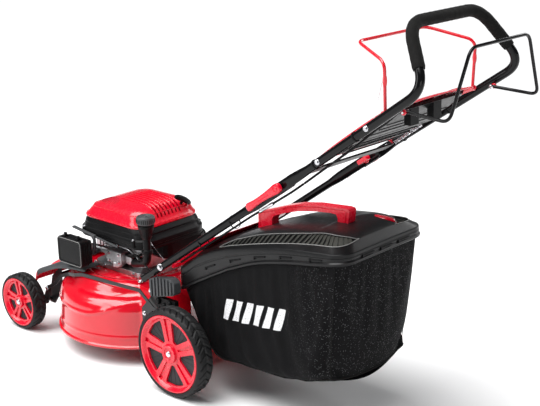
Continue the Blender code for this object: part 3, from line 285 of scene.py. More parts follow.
# ---- showing pieces -----------------------------------------------------------------------------
def show(name, work, body, material, nodes=(), bevel=0.0, smooth=32, segments=2):
    """Turn the shapes gathered in work into one piece that rides on a body."""
    mesh = work if isinstance(work, bpy.types.Mesh) else to_mesh(name, work)
    mesh.transform(Matrix.Translation((0, SHIFT, 0)))
    mesh.materials.clear()
    mesh.materials.append(material)
    mesh.shade_smooth()
    mesh.set_sharp_from_angle(angle=radians(smooth))
    obj = bpy.data.objects.new(name, mesh)
    bpy.context.scene.collection.objects.link(obj)
    if bevel:
        soften(obj, bevel, segments)
    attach(obj, body)
    if nodes:
        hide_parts(*nodes)
    return obj


def soften(obj, width, segments=2, angle=30):
    modifier = obj.modifiers.new("Bevel", "BEVEL")
    modifier.width = width
    modifier.segments = segments
    modifier.limit_method = "ANGLE"
    modifier.angle_limit = radians(angle)
    modifier.harden_normals = True


def keep(node, material, bevel=0.0):
    """Show a CAD node itself, with its edges broken and a better finish."""
    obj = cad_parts[node]
    obj.data.materials.clear()
    obj.data.materials.append(material)
    merge = obj.modifiers.new("Weld", "WELD")
    merge.merge_threshold = 0.00001
    if bevel:
        soften(obj, bevel)


def to_mesh(name, work):
    bmesh.ops.recalc_face_normals(work, faces=work.faces)
    mesh = bpy.data.meshes.new(name)
    work.to_mesh(mesh)
    work.free()
    return mesh


def evaluated(name, work, cutters, solver="EXACT"):
    """The shapes in work with every cutter (a bmesh) taken out, as a mesh."""
    objects = []
    for shape in (work, *cutters):
        mesh = to_mesh(name, shape)
        obj = bpy.data.objects.new(name, mesh)
        bpy.context.scene.collection.objects.link(obj)
        objects.append(obj)
    target = objects[0]
    for cutter in objects[1:]:
        modifier = target.modifiers.new("Cut", "BOOLEAN")
        modifier.operation = "DIFFERENCE"
        modifier.solver = solver
        modifier.object = cutter
    made = bpy.data.meshes.new_from_object(target.evaluated_get(bpy.context.evaluated_depsgraph_get()))
    for obj in objects:
        bpy.data.objects.remove(obj, do_unlink=True)
    return made


# ---- shapes -------------------------------------------------------------------------------------
def skin(work, rings, caps=True, closed=False, loop=True):
    """Faces between rings of equal count; loop joins each ring's ends, closed joins last to first."""
    rows = [[work.verts.new(point) for point in ring] for ring in rings]
    pairs = list(zip(rows, rows[1:]))
    if closed:
        pairs.append((rows[-1], rows[0]))
    count = len(rows[0])
    for row, following in pairs:
        for i in range(count if loop else count - 1):
            j = (i + 1) % count
            work.faces.new((row[i], row[j], following[j], following[i]))
    if caps and not closed and loop:
        work.faces.new(rows[0])
        work.faces.new(rows[-1])
    return rows


def turned(work, profile, axis, centre, sides=32, closed=False, caps=True):
    """Turn (radius, distance) pairs about an axis."""
    turn = {"X": Matrix.Rotation(pi / 2, 3, "Y"), "Y": Matrix.Rotation(-pi / 2, 3, "X"),
            "Z": Matrix.Identity(3)}[axis]
    rings = []
    for radius, along in profile:
        radius = max(radius, 0.00005)
        rings.append([Vector(centre) + turn @ Vector((radius * cos(2 * pi * (i + 0.5) / sides),
                                                      radius * sin(2 * pi * (i + 0.5) / sides), along))
                      for i in range(sides)])
    skin(work, rings, caps, closed)


def turned_about(work, profile, start, direction, sides=16):
    """Turn (radius, distance) pairs about a line from a point."""
    turn = Vector(direction).normalized().to_track_quat("Z", "Y")
    rings = [[Vector(start) + turn @ Vector((max(radius, 0.00005) * cos(2 * pi * i / sides),
                                             max(radius, 0.00005) * sin(2 * pi * i / sides), along))
              for i in range(sides)] for radius, along in profile]
    skin(work, rings)


def extruded(work, outline, axis, low, high):
    """Extrude an outline along X (points are y, z), Y (x, z) or Z (x, y)."""
    def lift(point, along):
        a, b = point
        return {"X": (along, a, b), "Y": (a, along, b), "Z": (a, b, along)}[axis]
    skin(work, [[lift(point, low) for point in outline], [lift(point, high) for point in outline]])


def box(work, low, high):
    outline = [(low[0], low[1]), (high[0], low[1]), (high[0], high[1]), (low[0], high[1])]
    extruded(work, outline, "Z", low[2], high[2])


def arc(centre, radius, start, end, steps):
    return [(centre[0] + radius * cos(radians(start + (end - start) * i / steps)),
             centre[1] + radius * sin(radians(start + (end - start) * i / steps)))
            for i in range(steps + 1)]


def rounded(route, radius, steps=6):
    """Round the corners of a route of 3-D points."""
    route = [Vector(point) for point in route]
    points = [route[0]]
    for before, corner, after in zip(route, route[1:], route[2:]):
        reach = min(radius, 0.48 * (corner - before).length, 0.48 * (after - corner).length)
        first = corner + (before - corner).normalized() * reach
        last = corner + (after - corner).normalized() * reach
        for i in range(steps + 1):
            t = i / steps
            points.append((1 - t) ** 2 * first + 2 * t * (1 - t) * corner + t * t * last)
    return points + [route[-1]]


def round_outline(points, radius, steps=4):
    """Round every corner of a closed 2-D outline."""
    made = []
    count = len(points)
    for i in range(count):
        before, corner, after = (Vector(points[k % count]) for k in (i - 1, i, i + 1))
        reach = min(radius, 0.48 * (corner - before).length, 0.48 * (after - corner).length)
        first = corner + (before - corner).normalized() * reach
        last = corner + (after - corner).normalized() * reach
        for k in range(steps + 1):
            t = k / steps
            point = (1 - t) ** 2 * first + 2 * t * (1 - t) * corner + t * t * last
            made.append(tuple(point))
    return made


def swept(work, route, size, sides=16, side=Vector((1, 0, 0)), power=1.0):
    """Sweep along a route; size is a radius or gives (across, upright) for a point's index."""
    route = [Vector(point) for point in route]
    rings = []
    for i, point in enumerate(route):
        before = route[max(i - 1, 0)]
        after = route[min(i + 1, len(route) - 1)]
        ahead = ((after - point).normalized() + (point - before).normalized()).normalized()
        side = (side - ahead * side.dot(ahead)).normalized()
        upright = ahead.cross(side)
        across, high = size(i) if callable(size) else (size, size)
        ring = []
        for k in range(sides):
            a = 2 * pi * (k + 0.5) / sides
            c, s = cos(a), sin(a)
            c = abs(c) ** power * (1 if c > 0 else -1)
            s = abs(s) ** power * (1 if s > 0 else -1)
            ring.append(point + side * across * c + upright * high * s)
        rings.append(ring)
    skin(work, rings)


def spline(stations, t):
    """Catmull-Rom through rows of numbers; t runs from 0 to 1 over all of them."""
    last = len(stations) - 1
    place = min(max(t, 0.0), 1.0) * last
    i = min(int(floor(place)), last - 1)
    f = place - i
    rows = [stations[min(max(k, 0), last)] for k in (i - 1, i, i + 1, i + 2)]
    return [0.5 * (2 * b + (c - a) * f + (2 * a - 5 * b + 4 * c - d) * f * f
                   + (3 * b - 3 * c + d - a) * f ** 3) for a, b, c, d in zip(*rows)]


def at_y(stations, y):
    """Smooth values of a table at a y, where each row's first number is its y."""
    for low, high in zip(range(len(stations)), range(1, len(stations))):
        if y <= stations[high][0] or high == len(stations) - 1:
            f = (y - stations[low][0]) / (stations[high][0] - stations[low][0])
            return spline(stations, (low + f) / (len(stations) - 1))


def ramp(low, high, value):
    return min(max((value - low) / (high - low), 0.0), 1.0)


def smooth_step(low, high, value):
    t = ramp(low, high, value)
    return t * t * (3 - 2 * t)


def rounded_box_ring(x, y_front, y_rear, corner, z, count=8, shift=0.0):
    middle = (y_front + y_rear) / 2
    half_y = (y_rear - y_front) / 2
    ring = []
    for quarter, (sx, sy) in enumerate(((1, 1), (-1, 1), (-1, -1), (1, -1))):
        centre = (sx * (x - corner) + shift, middle + sy * (half_y - corner))
        for px, py in arc(centre, corner, quarter * 90, quarter * 90 + 90, count):
            ring.append((px, py, z))
    return ring


def tube_z(y):
    return HANDLE_Z + y * tan(SLOPE)


def tube_x(y):
    """How far out the upper handle's legs are; they splay above the fold."""
    return HANDLE_X + (SPLAY_X - HANDLE_X) * ramp(SPLAY_START_Y, SPLAY_Y, y)


def on_tube(x, y, off=0.0):
    """A point beside the side tubes' line, off metres square to it on its upper front side."""
    return Vector((x, y - off * sin(SLOPE), tube_z(y) + off * cos(SLOPE)))


def bolt(work, place, direction, radius=0.005, height=0.004, washer=True):
    """Hexagon head on a washer."""
    place, direction = Vector(place), Vector(direction).normalized()
    if washer:
        turned_about(work, [(radius * 1.45, 0), (radius * 1.5, 0.0006), (radius * 1.4, 0.0014)], place,
                     direction, 20)
    turned_about(work, [(radius, 0), (radius, height), (radius * 0.82, height + 0.0008)], place,
                 direction, 6)


def surface_of(mesh):
    """Tree to cast rays at, in the mower's own coordinates."""
    work = bmesh.new()
    work.from_mesh(mesh)
    tree = BVHTree.FromBMesh(work)
    work.free()
    return tree


def top_of(tree, x, y, start=2.0):
    hit = tree.ray_cast(Vector((x, y, start)), Vector((0, 0, -1)))
    return hit[0].z if hit[0] else None


def mirrored(mesh):
    """The same mesh on the machine's other side."""
    made = mesh.copy()
    made.transform(Matrix.Scale(-1, 4, (1, 0, 0)))
    made.flip_normals()
    return made


# ---- wheels -------------------------------------------------------------------------------------
def tyre_shape(axle, radius, outer, width, lugs):
    """Smooth sidewalls and a chevron tread, turned about the axle."""
    steps = 20
    profile = [(0.884, 0.0040), (0.893, 0.0012), (0.905, 0.0004), (0.925, 0.0010), (0.930, 0.0004),
               (0.936, 0.0010), (0.955, 0.0022), (0.972, 0.0045)]
    side = [(r * radius, d) for r, d in profile]
    shoulder = 0.0075
    tread = [shoulder + (width - 2 * shoulder) * i / steps for i in range(steps + 1)]
    points = ([(r, d, 0.0) for r, d in side]
              + [(radius - 0.0022 * abs(2 * d / width - 1) ** 4, d, 1.0) for d in tread]
              + [(r, width - d, 0.0) for r, d in reversed(side)])
    around = lugs * 14
    work = bmesh.new()
    rings = []
    for i in range(around):
        angle = 2 * pi * i / around
        ring = []
        for r, depth, grooved in points:
            across = abs(2 * depth / width - 1)
            phase = (lugs * angle / (2 * pi) + 0.95 * across) % 1.0
            groove = smooth_step(0.34, 0.27, phase) * smooth_step(0.0, 0.07, phase) if grooved else 0
            rib = smooth_step(0.10, 0.04, across) if grooved else 0
            reach = r - 0.0034 * max(groove, rib)
            ring.append((outer - depth, axle[0] + reach * cos(angle), axle[1] + reach * sin(angle)))
        rings.append(ring)
    skin(work, rings, closed=True)
    return work


def rim_shape(axle, radius, outer, width):
    """Five-spoke rim: windows through a dished web, a groove along each spoke, a raised hub."""
    edge = 0.885 * radius
    hub = 0.205 * radius
    centre = (0, *axle)

    def x(depth):
        return outer - depth

    bore = SHAFT + 0.0004
    profile = [(bore, x(0.0055)), (hub * 0.62, x(0.0052)), (hub * 0.66, x(0.0030)), (hub * 0.95, x(0.0022)),
               (hub, x(0.0036)), (hub * 1.04, x(0.0105)), (hub * 1.20, x(0.0122)),
               (edge - 0.022, x(0.0110)), (edge - 0.0135, x(0.0100)), (edge - 0.0105, x(0.0060)),
               (edge - 0.0080, x(0.0030)), (edge - 0.0050, x(0.0014)), (edge - 0.0015, x(0.0016)),
               (edge - 0.0003, x(0.0034)), (edge - 0.0003, x(width - 0.0035)),
               (edge - 0.0030, x(width - 0.0035)), (edge - 0.0090, x(0.0230)), (hub * 1.1, x(0.0240)),
               (hub, x(width - 0.0060)), (bore, x(width - 0.0060))]
    work = bmesh.new()
    turned(work, profile, "X", centre, 96, closed=True)
    cutters = []
    inner = hub + 0.075 * radius
    reach = edge - 0.0165
    low, high = sorted((x(0.0300), x(-0.01)))
    for k in range(5):
        middle = WINDOW_TURN + 72 * k
        corners = arc(axle, reach, middle - 23.5, middle + 23.5, 2) + arc(axle, inner, middle + 9,
                                                                          middle - 9, 1)
        cutter = bmesh.new()
        extruded(cutter, round_outline(corners, 0.010, 5), "X", low, high)
        cutters.append(cutter)
        spoke = radians(middle + 36)
        ahead = Vector((cos(spoke), sin(spoke)))
        across = Vector((-sin(spoke), cos(spoke)))
        hold = Vector(axle)
        groove = [hold + ahead * (hub * 1.32) + across * 0.0030, hold + ahead * (reach + 0.004) + across
                  * 0.0068, hold + ahead * (reach + 0.004) - across * 0.0068,
                  hold + ahead * (hub * 1.32) - across * 0.0030]
        cutter = bmesh.new()
        extruded(cutter, round_outline([tuple(point) for point in groove], 0.002, 3), "X",
                 x(0.0150), x(-0.01))
        cutters.append(cutter)
    return evaluated("rim", work, cutters)


def make_wheels():
    for name, axle, radius, outer, width, lugs in (("rear", REAR_AXLE, 0.127, 0.260, 0.057, 32),
                                                   ("front", FRONT_AXLE, 0.0889, 0.231, 0.050, 24)):
        tyre = to_mesh("tyre", tyre_shape(axle, radius, outer, width, lugs))
        rim = rim_shape(axle, radius, outer, width)
        backing = bmesh.new()
        turned(backing, [(0.19 * radius, outer - 0.0180), (0.79 * radius, outer - 0.0175),
                         (0.79 * radius, outer - 0.0200), (0.19 * radius, outer - 0.0205)],
               "X", (0, *axle), 64, closed=True)
        for k in range(30):
            angle = 2 * pi * k / 30
            ahead = Vector((0, cos(angle), sin(angle)))
            start = Vector((outer - 0.0176, *axle)) + ahead * 0.24 * radius
            swept(backing, [start, start + ahead * 0.52 * radius], 0.0009, 6)
        backing = to_mesh("backing", backing)
        cap = bmesh.new()
        dome = [(0.0088, outer - 0.0060), (0.0088, outer - 0.0030), (0.0080, outer - 0.0014),
                (0.0058, outer - 0.0004), (0.0030, outer - 0.0001), (0.0, outer)]
        turned(cap, dome, "X", (0, *axle), 24)
        cap = to_mesh("cap", cap)
        for side in ("left", "right"):
            body = f"{name}_{side}_wheel"
            meshes = [mesh.copy() if side == "left" else mirrored(mesh)
                      for mesh in (tyre, rim, backing, cap)]
            show(f"{name}_{side}_treaded_tyre", meshes[0], body, RUBBER,
                 [f"{name}_{side}_tyre"], smooth=50)
            show(f"{name}_{side}_spoked_rim", meshes[1], body, RED_MOULDED,
                 [f"{name}_{side}_rim"], bevel=0.0009)
            show(f"{name}_{side}_backing_disc", meshes[2], body, BACKING_GREY)
            show(f"{name}_{side}_axle_cap", meshes[3], body, STEEL, smooth=60)


# ---- deck and chassis ---------------------------------------------------------------------------
def deck_reach(angle):
    """Distance from the blade centre to the skirt: a circle with a squared rear end."""
    across, back = cos(angle), sin(angle)
    if back <= 0:
        return DECK_RADIUS
    to_rear = (DECK_REAR_Y - DECK_Y) / back
    to_side = DECK_REAR_X / max(abs(across), 1e-6)
    return max(DECK_RADIUS, min(to_rear, to_side))


def make_deck():
    """Pressed deck: rolled lip, bead round the skirt, a swage that climbs to the rear, ring recess."""
    steel = 0.0025
    sides = 240
    heights = [(0.0550, -0.0050), (0.0580, -0.0058), (0.0610, -0.0050), (0.0640, 0.0000), (0.0680, 0.0006)]
    heights += [(0.068 + 0.0035 * i, 0.0006 + 0.0055 * (i / 28)) for i in range(1, 29)]
    heights += [(0.1720, 0.0080), (0.1780, 0.0102), (0.1840, 0.0132), (0.1890, 0.0170), (0.1930, 0.0220),
                (0.1960, 0.0280), (0.1980, 0.0340), (0.1995, 0.0400), (0.2020, 0.0460), (0.2070, 0.0515),
                (0.2130, 0.0555), (0.2190, 0.0585), (0.2240, 0.0620), (0.2290, 0.0670)]

    def bead(angle, z):
        first = 0.0022 * exp(-((z - 0.088) / 0.0035) ** 2)
        rise = 0.150 + 0.050 * smooth_step(0.10, 0.85, sin(angle))
        second = 0.0034 * exp(-((z - rise) / 0.0050) ** 2)
        return first + second

    def ring(z, inset):
        made = []
        for i in range(sides):
            angle = 2 * pi * (i + 0.5) / sides
            reach = deck_reach(angle) - inset + bead(angle, z)
            made.append((reach * cos(angle), DECK_Y + reach * sin(angle), z))
        return made

    def circle(z, radius):
        return [(radius * cos(2 * pi * (i + 0.5) / sides), DECK_Y + radius * sin(2 * pi * (i + 0.5) / sides),
                 z) for i in range(sides)]

    outer = [ring(z, inset) for z, inset in heights]
    top = DECK_TOP_Z
    tops = [(0.1740, top - 0.0030), (0.1690, top - 0.0008), (0.1640, top), (0.1560, top),
            (0.1530, top - 0.0016), (0.1490, top - 0.0016), (0.1460, top), (0.0600, top)]
    outer += [circle(z, radius) for radius, z in tops]
    inner = [circle(z - steel, radius - (steel if radius > 0.07 else 0)) for radius, z in reversed(tops)]
    inner += [ring(z - steel / 2, inset + steel) for z, inset in reversed(heights[3:])]
    inner.append(ring(0.055, steel))
    work = bmesh.new()
    skin(work, outer + inner, closed=True)
    window = bmesh.new()
    box(window, (-CHUTE_X, -0.215, 0.150), (CHUTE_X, 0.02, 0.30))
    mesh = evaluated("deck", work, [window], "MANIFOLD")
    show("pressed_deck", mesh, "chassis", RED_PAINT, ["deck_shell"], smooth=40)

    work = bmesh.new()
    for x, y in ((0.118, -0.520), (-0.118, -0.520), (0.118, -0.262), (-0.118, -0.262)):
        bolt(work, (x, y, top), (0, 0, 1), 0.0055, 0.0045)
    for sign in (1, -1):
        for y, z in ((-0.185, 0.130), (-0.185, 0.175), (-0.105, 0.205), (-0.075, 0.110)):
            bolt(work, (sign * 0.1756, y, z), (sign, 0, 0), 0.0045, 0.0035)
    show("deck_bolts", work, "chassis", STEEL)


def make_front():
    """Grey front cover with ribs, and the red nose between its sides."""
    stations = ((0.160, -0.698, 0.020), (0.176, -0.696, 0.020), (0.196, -0.684, 0.019),
                (0.214, -0.640, 0.016), (0.228, -0.600, 0.013), (0.238, -0.562, 0.012),
                (0.246, -0.500, 0.010), (0.250, -0.446, 0.010))
    half = 0.178
    wall = 0.003
    rows = [spline(stations, i / 40) for i in range(41)]
    rings = []
    for z, y, drop in rows:
        out = [(half, z - drop), (half, z - 0.007), (half - 0.0012, z - 0.003), (half - 0.0042, z - 0.0006),
               (half - 0.009, z)]
        inn = [(half - 0.010, z - wall), (half - wall, z - 0.007 - wall / 2), (half - wall, z - drop)]
        rings.append([(x, y, h) for x, h in out] + [(-x, y, h) for x, h in reversed(out)]
                     + [(-x, y, h) for x, h in reversed(inn)] + [(x, y, h) for x, h in inn])
    work = bmesh.new()
    skin(work, rings)
    tip = [(0.30, -0.690), (0.176, -0.688), (0.120, -0.625), (-0.120, -0.625), (-0.176, -0.688),
           (-0.30, -0.690)]
    whole = to_mesh("front_cover", work)
    for name, slot, material, far in (("front_cover_moulded", "grey_plastic", GREY_MOULDED, -0.80),
                                      ("front_cover_red_end", "red_plastic", RED_MOULDED, -0.30)):
        part, gap, rest = bmesh.new(), bmesh.new(), bmesh.new()
        part.from_mesh(whole)
        box(gap, (-0.1160, -0.600, 0.19), (0.1160, -0.43, 0.27))
        extruded(rest, tip + [(-0.30, far), (0.30, far)], "Z", 0.05, 0.35)
        mesh = evaluated(name, part, [gap, rest])
        show(name, mesh, "chassis", material, ["front_cover"] if far < -0.5 else [], bevel=0.0006)

    work = bmesh.new()
    for sign in (1, -1):
        for k in range(5):
            x = sign * (0.126 + 0.0105 * k)
            line = [spline(stations, t) for t in (0.42, 0.5, 0.6, 0.7, 0.8, 0.9)]
            swept(work, [(x, y, z + 0.0002) for z, y, _ in line], lambda i: (0.0016, 0.0013), 8)
    show("front_cover_ribs", work, "chassis", GREY_MOULDED)

    nose = ((-0.703, 0.165), (-0.7025, 0.180), (-0.6985, 0.194), (-0.672, 0.2105), (-0.640, 0.2280),
            (-0.605, 0.2450), (-0.575, 0.2560), (-0.550, 0.2575))
    rings = []
    for i in range(33):
        y, z = spline(nose, i / 32)
        rings.append([(-0.1155, y, z - 0.0070), (-0.1135, y, z - 0.0030), (-0.1080, y, z - 0.0006),
                      (-0.100, y, z), (-0.050, y, z + 0.0012), (0.0, y, z + 0.0016), (0.050, y, z + 0.0012),
                      (0.100, y, z), (0.1080, y, z - 0.0006), (0.1135, y, z - 0.0030),
                      (0.1155, y, z - 0.0070), (0.1155, y, z - 0.012), (0.102, y, z - 0.006),
                      (-0.102, y, z - 0.006), (-0.1155, y, z - 0.012)])
    work = bmesh.new()
    skin(work, rings)
    show("nose_moulded", work, "chassis", RED_MOULDED, ["nose_panel"], bevel=0.0005)

    work = bmesh.new()
    for k in range(9):
        x = -0.064 + 0.016 * k
        line = [spline(nose, t) for t in (0.50, 0.56, 0.62, 0.68, 0.74)]
        swept(work, [(x, y, z + 0.0014) for y, z in line], lambda i: (0.0042, 0.0012), 10)
    show("nose_vents", work, "chassis", BLACK_SATIN)


def make_handle_feet():
    """Ribbed grey feet that carry the side tubes."""
    for side, sign in (("left", 1), ("right", -1)):
        work = bmesh.new()
        under = TUBE + 0.001
        top = [on_tube(0, -0.140, -under)]
        outline = [(top[0].y, top[0].z), (-0.0610, 0.3150), (-0.0450, 0.3155), (-0.0300, 0.3060),
                   (-0.0310, 0.2760), (-0.0360, 0.2690), (-0.1150, 0.2490), (-0.1340, 0.2520)]
        extruded(work, round_outline(outline, 0.004, 3), "X", *sorted((sign * 0.1700, sign * 0.1960)))
        for k in range(7):
            y = -0.124 + 0.0135 * k
            low = 0.2515 + (y + 0.115) * 0.25
            high = min(tube_z(y) - 0.0195, 0.3140 - 0.45 * max(0.0, y + 0.052))
            rib = [(y - 0.0042, low), (y + 0.0042, low + 0.001), (y + 0.0030, high),
                   (y - 0.0030, high - 0.003)]
            extruded(work, round_outline(rib, 0.002, 2), "X", *sorted((sign * 0.1950, sign * 0.2000)))
        show(f"handle_foot_{side}", work, "chassis", GREY_MOULDED,
             [f"handle_bracket_{side}"], bevel=0.0010)
        work = bmesh.new()
        bolt(work, (sign * 0.1828, -0.0985, tube_z(-0.0985)), (sign, 0, 0), 0.0070, 0.0050)
        bolt(work, (sign * 0.1960, -0.128, 0.2640), (sign, 0, 0), 0.0048, 0.004)
        show(f"handle_foot_bolts_{side}", work, "chassis", STEEL)
        work = bmesh.new()
        inner, outer = sorted((sign * 0.1760, sign * 0.1900))
        box(work, (inner, -0.112, 0.206), (outer, -0.036, 0.2500))
        for y, z, size in ((-0.104, 0.238, 0.0095), (-0.082, 0.226, 0.0110), (-0.058, 0.240, 0.0095),
                           (-0.062, 0.214, 0.0080), (-0.100, 0.214, 0.0075)):
            turned_about(work, [(size, 0), (size, 0.005), (size * 0.75, 0.008), (size * 0.3, 0.0085)],
                         (sign * 0.1890, y, z), (sign, 0, 0), 14)
        show(f"handle_foot_base_{side}", work, "chassis", BLACK_SATIN, bevel=0.0012)


# ---- engine -------------------------------------------------------------------------------------
COVER_LEVELS = ((0.3962, 0.1240, -0.5210, -0.2410, 0.052), (0.3998, 0.1245, -0.5215, -0.2405, 0.052),
                (0.4034, 0.1225, -0.5185, -0.2425, 0.052), (0.4118, 0.1190, -0.5100, -0.2480, 0.050),
                (0.4225, 0.1150, -0.5000, -0.2530, 0.048), (0.4290, 0.1120, -0.4930, -0.2570, 0.047),
                (0.4345, 0.1060, -0.4830, -0.2620, 0.045), (0.4400, 0.0970, -0.4690, -0.2680, 0.042),
                (0.4450, 0.0830, -0.4520, -0.2790, 0.037), (0.4490, 0.0650, -0.4310, -0.2980, 0.031),
                (0.4515, 0.0440, -0.4060, -0.3220, 0.023), (0.4525, 0.0200, -0.3800, -0.3480, 0.014))


def make_engine_cover():
    levels = [spline(COVER_LEVELS, i / 44) for i in range(45)]
    wall = 0.003
    outer = [rounded_box_ring(x, f, r, c, z, 12) for z, x, f, r, c in levels]
    inner = [rounded_box_ring(x - wall, f + wall, r - wall, c - wall, z - (wall if i else 0), 12)
             for i, (z, x, f, r, c) in enumerate(levels[:38])]
    work = bmesh.new()
    skin(work, [outer[-1], *outer[-2::-1], *inner])
    cutters = []
    for k in range(7):
        x = 0.045 - k * 0.0145
        cutter = bmesh.new()
        outline = round_outline([(x - 0.0029, -0.280), (x + 0.0029, -0.280), (x + 0.0029, -0.230),
                                 (x - 0.0029, -0.230)], 0.0025, 3)
        extruded(cutter, outline, "Z", 0.4160, 0.475)
        cutters.append(cutter)
    mesh = evaluated("engine_cover", work, cutters)
    ground = surface_of(mesh)
    show("engine_cover_moulded", mesh, "chassis", RED_MOULDED, ["engine_cover"],
         bevel=0.0005, smooth=42)

    work = bmesh.new()
    for k in range(8):
        x = 0.052 - k * 0.0145
        line = []
        for i in range(16):
            y = -0.405 + i * 0.0092
            z = top_of(ground, x, y)
            if z and z > 0.418:
                line.append((x, y, z + 0.0006))
        swept(work, line, lambda i, last=len(line) - 1: (0.0020, 0.0024 * min(1.0, 0.2 + min(i, last - i))),
              8)
    for height, proud, size in ((0.4302, 0.0004, 0.0015), (0.4030, 0.0, 0.0012)):
        z, x, f, r, c = min((spline(COVER_LEVELS, i / 400) for i in range(401)),
                            key=lambda row, height=height: abs(row[0] - height))
        loop = rounded_box_ring(x + proud, f - proud, r + proud, c, z, 12)
        swept(work, loop + loop[:2], size, 8, Vector((0, 0, 1)))
    show("engine_cover_ribs", work, "chassis", RED_MOULDED, smooth=60)

    # oval grille on the slope that faces forward and to the left, its holes drawn as darker red discs of
    # painted shade
    dots = bmesh.new()
    for row in range(-5, 6):
        for column in range(-9, 10):
            a = column * 0.0052 + (0.0026 if row % 2 else 0.0)
            b = row * 0.0048
            if (a / 0.044) ** 2 + (b / 0.0235) ** 2 > 1:
                continue
            hit = ground.ray_cast(Vector((0.073 + b * 0.95 + a * 0.30, -0.430 + a * 0.95 - b * 0.30, 0.60)),
                                  Vector((0, 0, -1)))
            if hit[0]:
                turned_about(dots, [(0.0017, -0.001), (0.0017, 0.0003), (0.0011, 0.0006)], hit[0], hit[1], 8)
    show("engine_cover_painted_hole_dots", dots, "chassis", PAINTED_HOLE_SHADE)


def make_fan_housing():
    """Black housing below the red cover, with stepped seams and a screw post near each corner."""
    levels = ((0.3380, 0.1335, -0.5315, -0.2235), (0.3400, 0.1340, -0.5320, -0.2230),
              (0.3440, 0.1340, -0.5320, -0.2230), (0.3448, 0.1326, -0.5306, -0.2244),
              (0.3500, 0.1326, -0.5306, -0.2244), (0.3508, 0.1338, -0.5318, -0.2232),
              (0.3620, 0.1338, -0.5318, -0.2232), (0.3645, 0.1325, -0.5300, -0.2250),
              (0.3665, 0.1295, -0.5275, -0.2275), (0.3770, 0.1265, -0.5245, -0.2325),
              (0.3776, 0.1250, -0.5230, -0.2340), (0.3810, 0.1250, -0.5230, -0.2340),
              (0.3816, 0.1260, -0.5240, -0.2330), (0.3925, 0.1232, -0.5195, -0.2405),
              (0.3956, 0.1205, -0.5165, -0.2435))
    wall = 0.0025
    outer = [rounded_box_ring(x, f, r, 0.052, z, 12) for z, x, f, r in levels]
    inner = [rounded_box_ring(x - wall, f + wall, r - wall, 0.050, z, 12) for z, x, f, r in reversed(levels)]
    work = bmesh.new()
    skin(work, outer + inner, closed=True)
    show("fan_housing_moulded", work, "chassis", BLACK_SATIN, ["fan_housing"], bevel=0.0004)

    work, bolts = bmesh.new(), bmesh.new()
    for x, y in ((0.131, -0.490), (0.131, -0.268), (-0.131, -0.490), (-0.131, -0.268)):
        turned(work, [(0.0075, 0.345), (0.0075, 0.3640), (0.0062, 0.3655)], "Z", (x, y, 0), 16)
        bolt(bolts, (x, y, 0.3655), (0, 0, 1), 0.0038, 0.0028)
    show("fan_housing_ribs", work, "chassis", BLACK_SATIN, bevel=0.0003)
    show("fan_housing_bolts", bolts, "chassis", STEEL)


def make_air_filter():
    """Clip-on filter box: framed face, stepped rims behind it, knobs on top."""
    work = bmesh.new()

    def rect(inset, x):
        y0, y1, z0, z1 = -0.538 + inset, -0.426 - inset, 0.262 + inset, 0.345 - inset
        corner = max(0.011 - inset * 0.6, 0.004)
        points = []
        for (cy, cz), start in (((y1 - corner, z1 - corner), 0), ((y0 + corner, z1 - corner), 90),
                                ((y0 + corner, z0 + corner), 180), ((y1 - corner, z0 + corner), 270)):
            points += [(x, py, pz) for py, pz in arc((cy, cz), corner, start, start + 90, 6)]
        return points

    layers = [(0.0, 0.1726), (0.0, 0.1790), (0.0016, 0.1796), (0.0016, 0.1815), (0.0, 0.1821), (0.0, 0.1870),
              (0.0016, 0.1876), (0.0016, 0.1893), (0.0, 0.1899), (0.0, 0.1990), (0.0012, 0.2012),
              (0.0034, 0.2020), (0.0070, 0.2020), (0.0090, 0.2006), (0.0120, 0.2006), (0.0260, 0.2010)]
    outer = [rect(inset, x) for inset, x in layers]
    hollow = [rect(0.0055, 0.1975), rect(0.0055, 0.1726)]
    skin(work, [outer[-1], *outer[-2::-1], *reversed(hollow)])
    show("air_filter_box", work, "air_cover", BLACK_SATIN, ["air_filter_cover"],
         bevel=0.0003, smooth=25)
    work = bmesh.new()
    # pale ring round the filter face: painted highlight along its edge
    ring = rect(0.0026, 0.2018)
    swept(work, ring + ring[:2], 0.0008, 8, Vector((1, 0, 0)))
    show("air_filter_painted_highlight_edge", work, "air_cover", PAINTED_HIGHLIGHT_GREY)
    work = bmesh.new()
    for y in (-0.512, -0.452):
        box(work, (0.1800, y - 0.007, 0.3445), (0.1960, y + 0.007, 0.3490))
        turned(work, [(0.0052, 0.3485), (0.0052, 0.3545), (0.0040, 0.3560)], "Z", (0.188, y, 0), 16)
    show("air_filter_knobs", work, "air_cover", BLACK_SATIN, bevel=0.0005)


